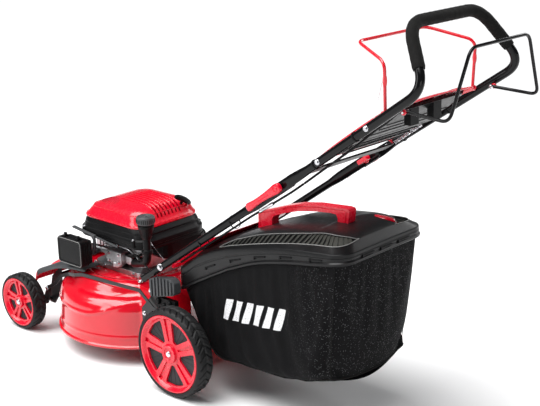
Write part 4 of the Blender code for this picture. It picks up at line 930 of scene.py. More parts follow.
def make_engine_details():
    """Filler cap, starter grip, tank cap, hoses, governor rod and bolts."""
    place = (*FILLER, 0.0)
    work = bmesh.new()
    turned(work, [(0.0035, 0.402), (0.0090, 0.404), (0.0090, 0.4304), (0.0200, 0.4304), (0.0235, 0.4320),
                  (0.0262, 0.4345), (0.0268, 0.4380), (0.0268, 0.4500), (0.0258, 0.4535), (0.0236, 0.4555),
                  (0.0205, 0.4550), (0.0190, 0.4530), (0.0160, 0.4530), (0.0145, 0.4550), (0.0110, 0.4552),
                  (0.0095, 0.4535), (0.0065, 0.4535), (0.0050, 0.4560), (0.0, 0.4566)], "Z", place, 40)
    show("dipstick_cap_ringed", work, "dipstick", GREY_MOULDED, ["dipstick_cap"],
         bevel=0.0003)
    work = bmesh.new()
    for k in range(30):
        a = 2 * pi * k / 30
        spot = Vector((FILLER[0] + 0.0264 * cos(a), FILLER[1] + 0.0264 * sin(a), 0.4380))
        swept(work, [spot, spot + Vector((0, 0, 0.0110))], 0.0013, 6)
    show("dipstick_cap_grips", work, "dipstick", BLACK_SATIN)

    base = Vector(place)
    route = rounded([(0.0820, -0.300, 0.285), (0.1180, -0.290, 0.286), base + Vector((0, 0, 0.315)),
                     base + Vector((0, 0, 0.398))], 0.03, 8)
    work = bmesh.new()
    swept(work, route, 0.0118, 20, Vector((0, 1, 0)))
    turned(work, [(0.0150, 0.3420), (0.0165, 0.3440), (0.0165, 0.3520), (0.0125, 0.3560)], "Z", place, 28)
    cone = [(0.0128, 0.3880), (0.0160, 0.3930), (0.0172, 0.3990), (0.0180, 0.4000), (0.0186, 0.4050),
            (0.0196, 0.4060), (0.0202, 0.4120), (0.0212, 0.4130), (0.0220, 0.4200), (0.0230, 0.4210),
            (0.0236, 0.4280), (0.0226, 0.4296), (0.0100, 0.4296), (0.0098, 0.3880)]
    turned(work, cone, "Z", place, 40, closed=True)
    for k in range(24):
        a = 2 * pi * k / 24
        ahead = Vector((cos(a), sin(a), 0))
        swept(work, [base + ahead * 0.0172 + Vector((0, 0, 0.398)), base + ahead * 0.0232
                     + Vector((0, 0, 0.4285))], 0.0010, 6, Vector((-sin(a), cos(a), 0)))
    show("oil_filler_moulded", work, "chassis", BLACK_SATIN, ["oil_filler_tube"],
         smooth=45)

    exit_point = Vector((-0.0555, -0.262, 0.4325))
    pull = Vector((0.0, 0.55, 0.835)).normalized()
    middle = exit_point + pull * 0.022
    bar = Vector((0.0285, 0.001, 0.0165))
    work = bmesh.new()
    route = [middle + bar * (t / 6) - pull * 0.004 * (t / 6) ** 2 for t in range(-6, 7)]
    swept(work, route, lambda i: (0.0088 * (1 - 0.35 * (abs(i - 6) / 6) ** 4),) * 2, 16, Vector((0, 0, 1)))
    swept(work, [middle, exit_point + pull * 0.004], lambda i: (0.0055 - 0.0010 * i,) * 2, 12)
    show("starter_grip", work, "recoil_grip", BLACK_SATIN, ["recoil_grip"], smooth=50)
    work = bmesh.new()
    swept(work, [exit_point + pull * 0.004, exit_point - pull * 0.010], 0.0020, 10)
    show("starter_rope", work, "chassis", FOAM_SKIN)

    work = bmesh.new()
    neck = (0, -0.262, 0.318)
    turned(work, [(0.0095, -0.116), (0.0095, -0.1285), (0.0180, -0.1285), (0.0192, -0.1295),
                  (0.0192, -0.1385), (0.0180, -0.1400), (0.0100, -0.1396), (0.0, -0.1396)], "X", neck, 36)
    for k in range(18):
        a = 2 * pi * k / 18
        spot = Vector((-0.1296, -0.262 + 0.0190 * cos(a), 0.318 + 0.0190 * sin(a)))
        swept(work, [spot, spot + Vector((-0.0085, 0, 0))], 0.0014, 6, Vector((0, 1, 0)))
    show("fuel_cap_knurled", work, "fuel_cap", BLACK_SATIN, ["fuel_cap"], bevel=0.0003)

    work = bmesh.new()
    swept(work, rounded([(0.096, -0.350, 0.296), (0.110, -0.310, 0.300), (0.112, -0.270, 0.312),
                         (0.100, -0.245, 0.330)], 0.02, 5), 0.0036, 10)
    swept(work, rounded([(0.125, -0.300, 0.332), (0.138, -0.262, 0.330), (0.150, -0.180, 0.300),
                         (0.158, -0.150, 0.270)], 0.02, 6), 0.0022, 10)
    show("engine_hoses", work, "chassis", FOAM_SKIN, smooth=60)
    work = bmesh.new()
    swept(work, rounded([(0.1440, -0.440, 0.3480), (0.1500, -0.424, 0.3440), (0.1500, -0.423, 0.3200),
                         (0.1490, -0.436, 0.2960), (0.1380, -0.446, 0.2900), (0.1180, -0.446, 0.2920)],
                        0.012, 8), 0.0050, 16)
    show("breather_hose", work, "chassis", BACKING_GREY, smooth=60)

    work = bmesh.new()
    for ends, size in ((((0.1430, -0.530, 0.3600), (0.1430, -0.428, 0.3485)), (0.0080, 0.0040)),
                       (((0.1400, -0.432, 0.3460), (0.1400, -0.330, 0.3350)), (0.0050, 0.0030))):
        swept(work, [Vector(ends[0]), Vector(ends[1])], lambda i, s=size: s, 4, Vector((1, 0, 0)))
    show("intake_duct", work, "chassis", GREY_MOULDED, bevel=0.0020)

    work = bmesh.new()
    swept(work, rounded([(0.126, -0.352, 0.330), (0.129, -0.300, 0.333), (0.128, -0.262, 0.318),
                         (0.126, -0.250, 0.300)], 0.012, 4), 0.0011, 8)
    turned_about(work, [(0.0060, 0), (0.0060, 0.004)], (0.121, -0.352, 0.330), (1, 0, 0), 16)
    for place in ((0.1185, -0.398, 0.298), (0.1185, -0.356, 0.298), (0.1185, -0.356, 0.275),
                  (0.1185, -0.398, 0.275)):
        bolt(work, place, (1, 0, 0), 0.0034, 0.003)
    for y in (-0.480, -0.440, -0.310, -0.275):
        bolt(work, (0.1052, y, 0.2450), (1, 0, 0), 0.0046, 0.004)
        bolt(work, (-0.1052, y, 0.2450), (-1, 0, 0), 0.0046, 0.004)
    for x in (-0.085, -0.03, 0.03, 0.085):
        bolt(work, (x, -0.2620, 0.2450), (0, 1, 0), 0.0046, 0.004)
    show("engine_fasteners", work, "chassis", STEEL)

    work = bmesh.new()
    for k in range(6):
        z = 0.2620 + 0.0080 * k
        box(work, (0.0795, -0.4600, z), (0.0860, -0.2950, z + 0.0030))
        box(work, (-0.0860, -0.4600, z), (-0.0795, -0.2950, z + 0.0030))
    turned(work, [(0.0150, 0.0810), (0.0165, 0.0830), (0.0165, 0.1000), (0.0140, 0.1030)], "X",
           (0, -0.330, 0.285), 24)
    turned(work, [(0.0190, 0.2560), (0.0210, 0.2585), (0.0210, 0.2700), (0.0180, 0.2730)], "Z",
           (0.100, -0.378, 0), 28)
    show("crankcase_ribs", work, "chassis", CAST, bevel=0.0008)


# ---- handle -------------------------------------------------------------------------------------
def make_tubes():
    for side, sign in (("left", 1), ("right", -1)):
        stations = [(-0.180, 0.0, TUBE, TUBE), (0.225, 0.0, TUBE, TUBE), (0.245, -0.0030, 0.0080, 0.0128),
                    (0.265, -0.0055, 0.0050, 0.0140), (FOLD_Y + 0.026, -0.0055, 0.0050, 0.0140),
                    (FOLD_Y + 0.034, -0.0055, 0.0046, 0.0110), (FOLD_Y + 0.036, -0.0055, 0.0040, 0.0070)]
        route = [on_tube(sign * (HANDLE_X + shift), y) for y, shift, _, _ in stations]
        work = bmesh.new()
        swept(work, route, lambda i: stations[i][2:], 24, Vector((1, 0, 0)), 0.9)
        show(f"side_tube_{side}", work, "chassis", ENAMEL, [f"lower_tube_{side}"], smooth=50)

    start = [on_tube(HANDLE_X, y) for y in (FOLD_Y - 0.036, FOLD_Y - 0.033, FOLD_Y - 0.026, FOLD_Y + 0.040,
                                            FOLD_Y + 0.062, FOLD_Y + 0.084)]
    bend = on_tube(SPLAY_X, SPLAY_Y)
    top = Vector((0.1375, 0.713, 1.0765))
    corners = rounded([start[-1], bend, top, Vector((-top.x, top.y, top.z)),
                       Vector((-bend.x, bend.y, bend.z)), Vector((-start[-1].x, *start[-1].yz))],
                      0.050, 12)
    other = [Vector((-point.x, point.y, point.z)) for point in reversed(start[:-1])]
    route = start[:-1] + corners + other
    count = len(route)
    flat = {0: (0.0040, 0.0070), 1: (0.0046, 0.0110), 2: (0.0050, 0.0140), 3: (0.0050, 0.0140),
            4: (0.0080, 0.0128)}
    for i in range(count):
        near = min(i, count - 1 - i)
        if near < 5:
            shift = 0.0065 if near < 4 else 0.0030
            route[i] = route[i] + Vector((shift if route[i].x > 0 else -shift, 0, 0))
    work = bmesh.new()
    swept(work, route, lambda i: flat.get(min(i, count - 1 - i), (TUBE, TUBE)), 24)
    show("handle_tube", work, "upper_handle", ENAMEL, ["upper_handle"], smooth=50)

    first = next(i for i, point in enumerate(route) if point.z > 0.984 and point.x > 0)
    sub = route[first:count - first]
    fine = []
    for a, b in zip(sub, sub[1:]):
        steps = max(1, int((b - a).length / 0.006))
        fine += [a.lerp(b, i / steps) for i in range(steps)]
    fine.append(sub[-1])
    last = len(fine) - 1
    side = Vector((1, 0, 0))

    def foam_size(i):
        near = min(i, last - i)
        size = FOAM - 0.0008 - 0.0012 * max(0.0, 1 - near / 1.2) ** 2 + 0.0002 * sin(i * 1.9)
        return (size, size)

    work = bmesh.new()
    swept(work, fine, foam_size, 28, side)
    show("foam_sleeve", work, "upper_handle", FOAM_SKIN, ["foam_grip"], smooth=60)


def make_bails():
    half = [(BAIL_X, *BRAKE_PIVOT), (0.180, 0.679, 0.992), (0.133, 0.566, 1.022)]
    route = rounded(half + [(-x, y, z) for x, y, z in reversed(half)], 0.022, 8)
    work = bmesh.new()
    swept(work, route, WIRE, 16, Vector((0, 1, 0)))
    for sign in (1, -1):
        eye = Vector((sign * 0.1778, 0.6784, 0.950))
        swept(work, [eye + Vector((0, 0, d)) for d in (-0.012, -0.007, 0.0, 0.007, 0.012)],
              lambda i: ((0.0040, 0.0040), (0.0030, 0.0056), (0.0028, 0.0064), (0.0030, 0.0056),
                         (0.0040, 0.0040))[i], 14, Vector((1, 0, 0)))
    show("brake_bail_wire", work, "brake_bail", RED_PAINT, ["brake_bail"], smooth=50)

    half = [(BAIL_X, *DRIVE_PIVOT), (0.182, 0.853, 0.880), (0.117, 0.8615, 1.033)]
    route = rounded(half + [(-x, y, z) for x, y, z in reversed(half)], 0.022, 8)
    work = bmesh.new()
    swept(work, route, WIRE, 16, Vector((0, 0, 1)))
    show("drive_bail_wire", work, "drive_bail", ENAMEL, ["drive_bail"], smooth=50)


def make_clamps():
    """Cam levers outside the folding joint and red wing heads inside it."""
    at = on_tube(0, FOLD_Y)
    shape = ((0.0135, 0.0040, 0.0045), (0.0120, 0.0085, 0.0060), (0.0070, 0.0120, 0.0066),
             (-0.0060, 0.0128, 0.0070), (-0.0200, 0.0112, 0.0070), (-0.0450, 0.0092, 0.0066),
             (-0.0800, 0.0082, 0.0060), (-0.1020, 0.0095, 0.0056), (-0.1150, 0.0108, 0.0050),
             (-0.1210, 0.0096, 0.0044), (-0.1240, 0.0060, 0.0036))
    for side, sign in (("left", 1), ("right", -1)):
        work = bmesh.new()
        rings = []
        for i in range(41):
            along, wide, thick = spline(shape, i / 40)
            middle = at + ALONG * along + Vector((sign * CAM_X, 0, 0))
            ring = []
            for k in range(20):
                a = 2 * pi * (k + 0.5) / 20
                c = abs(cos(a)) ** 0.6 * (1 if cos(a) > 0 else -1)
                s = abs(sin(a)) ** 0.6 * (1 if sin(a) > 0 else -1)
                ring.append(middle + Vector((c * thick, 0, 0)) + SQUARE * (s * wide))
            rings.append(ring)
        skin(work, rings)
        cutters = []
        groove = bmesh.new()
        line = [at + ALONG * d + Vector((sign * (CAM_X + 0.0082), 0, 0)) for d in (-0.030, -0.108)]
        swept(groove, line, lambda i: (0.0030, 0.0042), 12)
        cutters.append(groove)
        eye = bmesh.new()
        turned_about(eye, [(0.0082, 0.0), (0.0082, 0.004)], at + Vector((sign * (CAM_X + 0.0056), 0, 0)),
                     (sign, 0, 0), 28)
        cutters.append(eye)
        mesh = evaluated("cam", work, cutters)
        show(f"cam_lever_moulded_{side}", mesh, f"cam_{side}", RED_MOULDED,
             [f"cam_lever_{side}"], bevel=0.0004, smooth=40)
        work = bmesh.new()
        turned_about(work, [(0.0056, 0.0), (0.0056, 0.0062), (0.0046, 0.0072)],
                     at + Vector((sign * CAM_X, 0, 0)), (sign, 0, 0), 24)
        show(f"cam_pin_{side}", work, f"cam_{side}", RED_MOULDED, bevel=0.0004)

        work = bmesh.new()
        wing = round_outline([tuple(on_tube(0, FOLD_Y + dy, off).yz) for dy, off in (
            (-0.015, -0.006), (0.015, -0.006), (0.015, 0.006), (-0.015, 0.006))], 0.004, 4)
        extruded(work, wing, "X", *sorted((sign * 0.1400, sign * 0.1560)))
        turned(work, [(0.010, sign * 0.155), (0.010, sign * 0.1600), (0.004, sign * 0.1602),
                      (0.004, sign * 0.1860)], "X", (0, at.y, at.z), 24)
        show(f"fold_wing_{side}", work, "chassis", RED_MOULDED, [f"fold_bolt_{side}"],
             bevel=0.0008)


def make_console():
    """Red dashboard between the side tubes, crossbars, bushes, a spring, clips and bolts."""
    heights = ((0.452, 0.010), (0.456, 0.024), (0.470, 0.028), (0.520, 0.032), (0.600, 0.034),
               (0.640, 0.031), (0.665, 0.026), (0.690, 0.018), (0.702, 0.012))
    rows = []
    for i in range(49):
        x = -0.148 + 0.296 * i / 48
        edge = 0.010 * smooth_step(0.138, 0.148, abs(x))
        row = []
        for k in range(41):
            y, h = spline(heights, k / 40)
            dome = 1.0 - 0.35 * (x / 0.148) ** 2
            crease = 0.0026 * exp(-((abs(x) - 0.098) / 0.004) ** 2)
            scoop = 0.007 * smooth_step(0.085, 0.070, abs(x)) * smooth_step(0.500, 0.520, y) \
                * smooth_step(0.640, 0.620, y)
            row.append(on_tube(x, y, h * dome - edge + crease - scoop))
        rows.append(row)
    work = bmesh.new()
    skin(work, rows, caps=False, loop=False)
    obj = show("dashboard", work, "upper_handle", RED_MOULDED, ["console_panel"], smooth=45)
    thick = obj.modifiers.new("Wall", "SOLIDIFY")
    thick.thickness = 0.003
    thick.offset = -1.0

    work = bmesh.new()
    ends = [on_tube(0, y, off) for y, off in (
        (0.512, 0.018), (0.626, 0.018), (0.626, 0.0265), (0.512, 0.0255))]
    extruded(work, round_outline([tuple(point.yz) for point in ends], 0.003, 3), "X", -0.066, 0.066)
    for k in range(6):
        y = 0.534 + 0.014 * k
        spots = [on_tube(0, y - 0.002, 0.0260), on_tube(0, y + 0.002, 0.0260), on_tube(0, y + 0.002, 0.0278),
                 on_tube(0, y - 0.002, 0.0278)]
        extruded(work, [tuple(point.yz) for point in spots], "X", -0.052, 0.052)
    show("dashboard_inset", work, "upper_handle", BLACK_SATIN, bevel=0.0006)

    for name, y, reach in (("crossbar_lower", 0.436, 0.1605), ("crossbar_upper", 0.575, 0.1695)):
        work = bmesh.new()
        half = 0.017 * cos(SLOPE)
        ends = [on_tube(0, y + share * half, off) for share, off in (
            (-1, -0.0060), (-1, -0.0022), (-0.85, -0.0010), (0.85, -0.0010), (1, -0.0022), (1, -0.0060))]
        extruded(work, [tuple(point.yz) for point in ends], "X", -reach, reach)
        show(f"{name}_moulded", work, "upper_handle", BLACK_SATIN, [name], bevel=0.0008)

    work = bmesh.new()
    for y in (0.436, 0.575):
        for sign in (1, -1):
            bolt(work, on_tube(sign * 0.1490, y, -0.0012), SQUARE, 0.0042, 0.003)
    for sign in (1, -1):
        for y in (0.485, 0.640):
            bolt(work, on_tube(sign * (tube_x(y) + TUBE - 0.0004), y, 0.0), (sign, 0, 0), 0.0048, 0.0036)
        for spot in (BRAKE_PIVOT, DRIVE_PIVOT):
            place = Vector((sign * (BAIL_X + 0.0030), *spot))
            turned_about(work, [(0.0030, 0), (0.0030, 0.0100)], place, (sign, 0, 0), 14)
            turned_about(work, [(0.0052, 0), (0.0052, 0.0024), (0.0034, 0.0034)],
                         Vector((sign * (BAIL_X - 0.0040), *spot)), (-sign, 0, 0), 16)
    route = []
    for i in range(150):
        t = i / 149
        centre = on_tube(-0.1520, 0.455 + 0.085 * t, -0.0050 + 0.0020 * t)
        a = 2 * pi * t * 18
        route.append(centre + Vector((1, 0, 0)) * 0.0042 * cos(a) + SQUARE * 0.0042 * sin(a))
    swept(work, route, 0.0008, 6)
    show("handle_fasteners", work, "upper_handle", STEEL)

    # dark lower shell of the dashboard, with two switch bodies and ribs under it
    work = bmesh.new()
    rings = []
    for y, low, high, half_x in ((0.470, 0.006, 0.018, 0.120), (0.500, -0.002, 0.022, 0.132),
                                 (0.560, -0.005, 0.024, 0.134), (0.640, -0.005, 0.022, 0.134),
                                 (0.686, 0.002, 0.014, 0.130)):
        rings.append([on_tube(x, y, off) for x, off in ((half_x, high * 0.7), (half_x, low + 0.006),
                                                        (half_x - 0.008, low), (-half_x + 0.008, low),
                                                        (-half_x, low + 0.006), (-half_x, high * 0.7))])
    skin(work, rings)
    for x, y in ((0.070, 0.655), (-0.020, 0.655)):
        low, high = on_tube(x, y, -0.016), on_tube(x, y + 0.030, 0.004)
        box(work, (x - 0.016, low.y, low.z - 0.006), (x + 0.016, high.y, high.z))
    for k in range(7):
        y = 0.505 + 0.022 * k
        swept(work, [on_tube(-0.120, y, -0.0052), on_tube(0.120, y, -0.0052)], lambda i: (0.0016, 0.0018), 6,
              ALONG)
    show("dashboard_underside", work, "upper_handle", BLACK_SATIN, bevel=0.0012)

    # red end caps where the bails turn in the side tubes
    work = bmesh.new()
    for sign in (1, -1):
        for y, z in (BRAKE_PIVOT, DRIVE_PIVOT):
            turned_about(work, [(0.0050, 0), (0.0066, 0.0008), (0.0066, 0.0046), (0.0050, 0.0054)],
                         Vector((sign * (BAIL_X + 0.0046), y, z)), (sign, 0, 0), 18)
    show("bail_bushes", work, "upper_handle", RED_MOULDED, bevel=0.0006)

    work = bmesh.new()
    for y, sign in ((0.470, 1), (0.600, 1), (0.470, -1), (0.600, -1)):
        centre = on_tube(sign * tube_x(y), y)
        loop = []
        for i in range(26):
            a = 2 * pi * i / 24
            loop.append(centre + Vector((1, 0, 0)) * (TUBE + 0.0011) * cos(a) + SQUARE * (TUBE + 0.0011)
                        * sin(a))
        swept(work, loop, lambda i: (0.0028, 0.0009), 6, ALONG)
    show("cable_clips", work, "upper_handle", BLACK_SATIN)


def make_cables():
    upper = [on_tube(CABLE_X, y, off) for y, off in ((0.640, -0.006), (0.600, -0.010), (0.560, -0.014),
                                                    (0.500, -0.016), (0.450, -0.018), (0.405, -0.020))]
    work = bmesh.new()
    swept(work, rounded(upper, 0.02, 4), 0.003, 14)
    show("brake_cable_upper", work, "upper_handle", BLACK_SATIN, ["control_cable_upper"],
         smooth=60)
    lower = [on_tube(CABLE_X, y, off) for y, off in ((0.401, -0.020), (0.360, -0.021), (0.300, -0.019),
                                                    (0.220, -0.016), (0.120, -0.016), (0.030, -0.0155),
                                                    (-0.050, -0.0155))]
    work = bmesh.new()
    swept(work, rounded(lower, 0.02, 4), 0.003, 14)
    show("brake_cable_lower", work, "chassis", BLACK_SATIN, ["control_cable_lower"],
         smooth=60)
    work = bmesh.new()
    bare = [lower[-1], (0.1480, -0.105, 0.336), (0.1290, -0.170, 0.354), (0.1100, -0.224, 0.372)]
    swept(work, rounded(bare, 0.02, 4), 0.0010, 10)
    show("brake_wire_bare", work, "chassis", STEEL)
    work = bmesh.new()
    start, end = on_tube(CABLE_X, 0.300, -0.019), on_tube(CABLE_X, 0.252, -0.0172)
    ahead = (end - start).normalized()
    turned_about(work, [(0.0045, 0), (0.0048, 0.002), (0.0048, 0.014), (0.0038, 0.015), (0.0038, 0.046),
                        (0.0048, 0.047), (0.0048, 0.055), (0.0036, 0.057)], start, ahead, 16)
    for k in range(8):
        turned_about(work, [(0.0044, 0.0180 + 0.0035 * k), (0.0044, 0.0195 + 0.0035 * k)], start, ahead, 16)
    show("cable_adjuster", work, "chassis", STEEL, bevel=0.0002)
    work = bmesh.new()
    swept(work, [Vector((0.1815, 0.6735, 0.948)), on_tube(0.1560, 0.630, 0.006)], 0.0007, 6)
    show("brake_wire", work, "brake_bail", STEEL)
    work = bmesh.new()
    for y in (0.180, 0.060):
        centre = on_tube(0.166, y, -0.006)
        loop = [centre + Vector((0.018 * cos(2 * pi * i / 24), 0, 0)) + SQUARE * 0.0185 * sin(2 * pi * i / 24)
                for i in range(26)]
        swept(work, loop, lambda i: (0.0024, 0.0008), 6, ALONG)
    show("lower_cable_clips", work, "chassis", BLACK_SATIN)


# ---- grass catcher ------------------------------------------------------------------------------
def lid_outline():
    """Plan of the lid's edge: front left, round the rear corners, to front right."""
    half_end = at_y(LID, LID_END_Y - LID_CORNER)[1]
    side = []
    for i in range(72):
        y = -0.045 + (LID_END_Y - LID_CORNER + 0.045) * i / 71
        side.append((at_y(LID, y)[1], y))
    corner = arc((half_end - LID_CORNER, LID_END_Y - LID_CORNER), LID_CORNER, 0, 90, 14)[1:]
    rear = [(x, LID_END_Y) for x in (0.100, 0.075, 0.050, 0.025)]
    left = side + corner + rear
    return left + [(0.0, LID_END_Y)] + [(-x, y) for x, y in reversed(left)]


# distance along the lid's edge, outer and inner edge of the louvred band (shares of the way in)
LOUVRE = ((0.150, 0.050, 0.052), (0.168, 0.046, 0.120), (0.192, 0.042, 0.180), (0.246, 0.040, 0.215),
          (0.330, 0.044, 0.232), (0.400, 0.056, 0.265), (0.476, 0.078, 0.335), (0.530, 0.090, 0.362),
          (0.579, 0.104, 0.345), (0.618, 0.140, 0.270), (0.647, 0.160, 0.175), (0.656, 0.164, 0.166))


def along_outline(outline):
    """Distance from the lid's front along its edge, the same on both sides."""
    steps = [0.0]
    for (x0, y0), (x1, y1) in zip(outline, outline[1:]):
        steps.append(steps[-1] + hypot(x1 - x0, y1 - y0))
    return [min(step, steps[-1] - step) for step in steps]


def lid_place(x, y, w):
    """Point of the lid's top that lies a share w of the way in from the edge point x, y."""
    _, _, _, shoulder, _ = at_y(LID, min(y, LID_END_Y))
    inward = Vector((0.0, min(y, LID_END_Y - LID_RADIAL))) - Vector((x, y))
    reach = inward.length
    inward.normalize()
    place = Vector((x, y)) + inward * (LID_BRIM + (reach - LID_BRIM) * w)
    top = at_y(LID, min(y, LID_END_Y - LID_RADIAL * w))[4]
    return Vector((place.x, place.y, shoulder + (top - shoulder) * dome_share(w)))


def dome_share(w):
    return 1 - (1 - w) ** 5.0


def make_lid():
    """Moulded lid: thick lip, banded skirt, louvred chamfer and a shallow dome."""
    outline = lid_outline()
    levels = [("rise", rise, inset) for rise, inset in (
        (0.000, 0.0000), (0.002, -0.0018), (0.007, -0.0020), (0.0095, 0.0006), (0.0110, 0.0024),
        (0.0128, 0.0024), (0.0138, 0.0008))]
    levels += [("share", share, inset) for share, inset in (
        (0.48, 0.0008), (0.60, 0.0010), (0.615, 0.0026), (0.665, 0.0026), (0.68, 0.0012), (0.90, 0.0018),
        (0.965, 0.0034), (1.0, LID_BRIM))]
    levels += [("louvre", k, 0.0) for k in (0.0, 0.05, 0.07, 0.25, 0.5, 0.75, 0.93, 0.95, 1.0)]
    levels += [("dome", k, 0.0) for k in (0.03, 0.08, 0.16, 0.26, 0.38, 0.52, 0.66, 0.82, 1.0)]
    rings = []
    reached = along_outline(outline)
    for kind, amount, inset in levels:
        ring = []
        for (x, y), distance in zip(outline, reached):
            _, _, low, shoulder, _ = at_y(LID, min(y, LID_END_Y))
            if kind in ("rise", "share"):
                inward = Vector((0.0, min(y, LID_END_Y - LID_RADIAL))) - Vector((x, y))
                place = Vector((x, y)) + inward.normalized() * inset
                z = low + (amount if kind == "rise" else (shoulder - low) * amount)
            else:
                _, start, edge = at_y(LOUVRE, distance)
                w = start + (edge - start) * amount if kind == "louvre" else edge + (1 - edge) * amount
                place = lid_place(x, y, w)
                z = place.z
                if kind == "louvre" and 0.06 < amount < 0.94:
                    z -= 0.0050 * ramp(0.0, 0.03, edge - start - 0.004)
            ring.append((place.x, place.y, z))
        rings.append(ring)
    work = bmesh.new()
    skin(work, rings, caps=False, loop=False)
    bmesh.ops.remove_doubles(work, verts=work.verts, dist=0.00001)
    mesh = to_mesh("lid", work)
    ground = surface_of(mesh)
    obj = show("lid_moulded", mesh, "catcher", LID_PLASTIC, ["catcher_lid"], smooth=28)
    thick = obj.modifiers.new("Wall", "SOLIDIFY")
    thick.thickness = 0.0028
    thick.offset = -1.0

    def edge_place(sign, distance, w, lift=0.0):
        k = next(n for n, done in enumerate(reached) if done >= distance)
        share = (distance - reached[k - 1]) / (reached[k] - reached[k - 1])
        x, y = Vector(outline[k - 1]).lerp(Vector(outline[k]), share)
        return lid_place(sign * x, y, w) + Vector((0, 0, lift))

    work, border, clips = bmesh.new(), bmesh.new(), bmesh.new()
    for sign in (1, -1):
        for k in range(27):
            distance = 0.1800 + 0.0168 * k
            ahead = (edge_place(sign, distance + 0.004, 0.2) - edge_place(sign, distance, 0.2)).normalized()
            _, start, edge = at_y(LOUVRE, distance)
            up = Vector((sign * 0.45, 0, 0.89)) if distance < 0.55 else Vector((sign * 0.2, 0.3, 0.93))
            ring = []
            for w in (start + 0.004, edge - 0.004):
                point = edge_place(sign, distance, w)
                fore, aft = point - ahead * 0.0062, point + ahead * 0.0056
                ring.append([aft - up * 0.0004, aft - up * 0.0018, fore - up * 0.0048, fore - up * 0.0034])
            skin(work, ring)
        # pale loop round each louvred band: painted highlight on its bevel
        marks = [0.152 + 0.0112 * i for i in range(46)]
        loop = [edge_place(sign, mark, at_y(LOUVRE, mark)[1], 0.0004) for mark in marks]
        loop += [edge_place(sign, mark, at_y(LOUVRE, mark)[2], 0.0006) for mark in reversed(marks)]
        swept(border, loop + loop[:2], 0.0011, 8, Vector((0, 0, 1)))
    runs = [[(x, y) for x, y in outline if start < y < start + 0.046 and x > 0.1]
            for start in (0.060, 0.155, 0.250, 0.345, 0.440)]
    runs += [[(-x, y) for x, y in run] for run in runs]
    runs += [[(x0 - 0.009 * i, LID_END_Y) for i in range(6)] for x0 in (0.095, 0.022, -0.050)]
    for run in runs:
        line = []
        for x, y in run:
            _, _, low, shoulder, _ = at_y(LID, y)
            out = Vector((1 if x > 0 else -1, 0, 0)) if abs(x) > 0.1 and y < 0.51 else Vector((0, 1, 0))
            line.append(Vector((x, y, low + (shoulder - low) * 0.44)) + out * 0.0004)
        swept(clips, line, lambda i: (0.0024, 0.0014), 8, Vector((0, 0, 1)))
        notch = line[0]
        box(clips, notch - Vector((0.0022, 0.0022, 0.0050)), notch + Vector((0.0022, 0.0022, 0.0026)))
    show("lid_louvres", work, "catcher", SLAT_GREY, bevel=0.0003)
    show("lid_louvre_painted_highlight_borders", border, "catcher", PAINTED_HIGHLIGHT_GREY, smooth=60)
    show("lid_clips", clips, "catcher", BLACK_SATIN, bevel=0.0004)

    # red fill indicator lying in the far side of the lid's top
    work = bmesh.new()
    rings = []
    for i in range(13):
        y = 0.452 + 0.0053 * i
        half = 0.0125 * sin(pi * (i + 0.5) / 13) ** 0.5
        middle = -0.084 - 0.10 * (y - 0.484)
        rings.append([(middle + dx * half, y, (top_of(ground, middle + dx * half, y) or 0.53) + dz)
                      for dx, dz in ((-1, -0.001), (-0.8, 0.0016), (0, 0.0026), (0.8, 0.0016), (1, -0.001))])
    skin(work, rings)
    show("fill_indicator", work, "catcher", RED_MOULDED, smooth=50)


def make_lid_handle():
    """Red carrying handle: a boxy section, upright posts and a line let in along its sides."""
    over = [(0.1230, 0.4500), (0.1236, 0.4930), (0.1260, 0.5000), (0.1330, 0.5050), (0.1730, 0.5180),
            (0.2250, 0.5360), (0.2710, 0.5490), (0.3330, 0.5595), (0.3940, 0.5645), (0.4260, 0.5672),
            (0.4400, 0.5660), (0.4425, 0.5610), (0.4370, 0.5200)]
    under = [(0.4020, 0.5180), (0.4040, 0.5350), (0.3980, 0.5455), (0.3800, 0.5460), (0.3330, 0.5410),
             (0.2710, 0.5300), (0.2250, 0.5165), (0.1900, 0.5030), (0.1800, 0.4980), (0.1745, 0.4880),
             (0.1740, 0.4640)]
    work = bmesh.new()
    extruded(work, over + under, "X", -0.0140, 0.0140)
    cutters = []
    line = [(0.1300, 0.4600), (0.1302, 0.4960), (0.1380, 0.5000), (0.1750, 0.5115), (0.2250, 0.5288),
            (0.2710, 0.5418), (0.3330, 0.5525), (0.3940, 0.5575), (0.4230, 0.5602), (0.4320, 0.5570),
            (0.4290, 0.5250)]
    for sign in (1, -1):
        cutter = bmesh.new()
        swept(cutter, [(sign * 0.0142, y, z) for y, z in line], lambda i: (0.0018, 0.0013), 8)
        cutters.append(cutter)
    mesh = evaluated("lid_handle", work, cutters)
    show("lid_handle_arch", mesh, "catcher", RED_MOULDED, ["catcher_handle"], bevel=0.0016,
         smooth=32, segments=3)


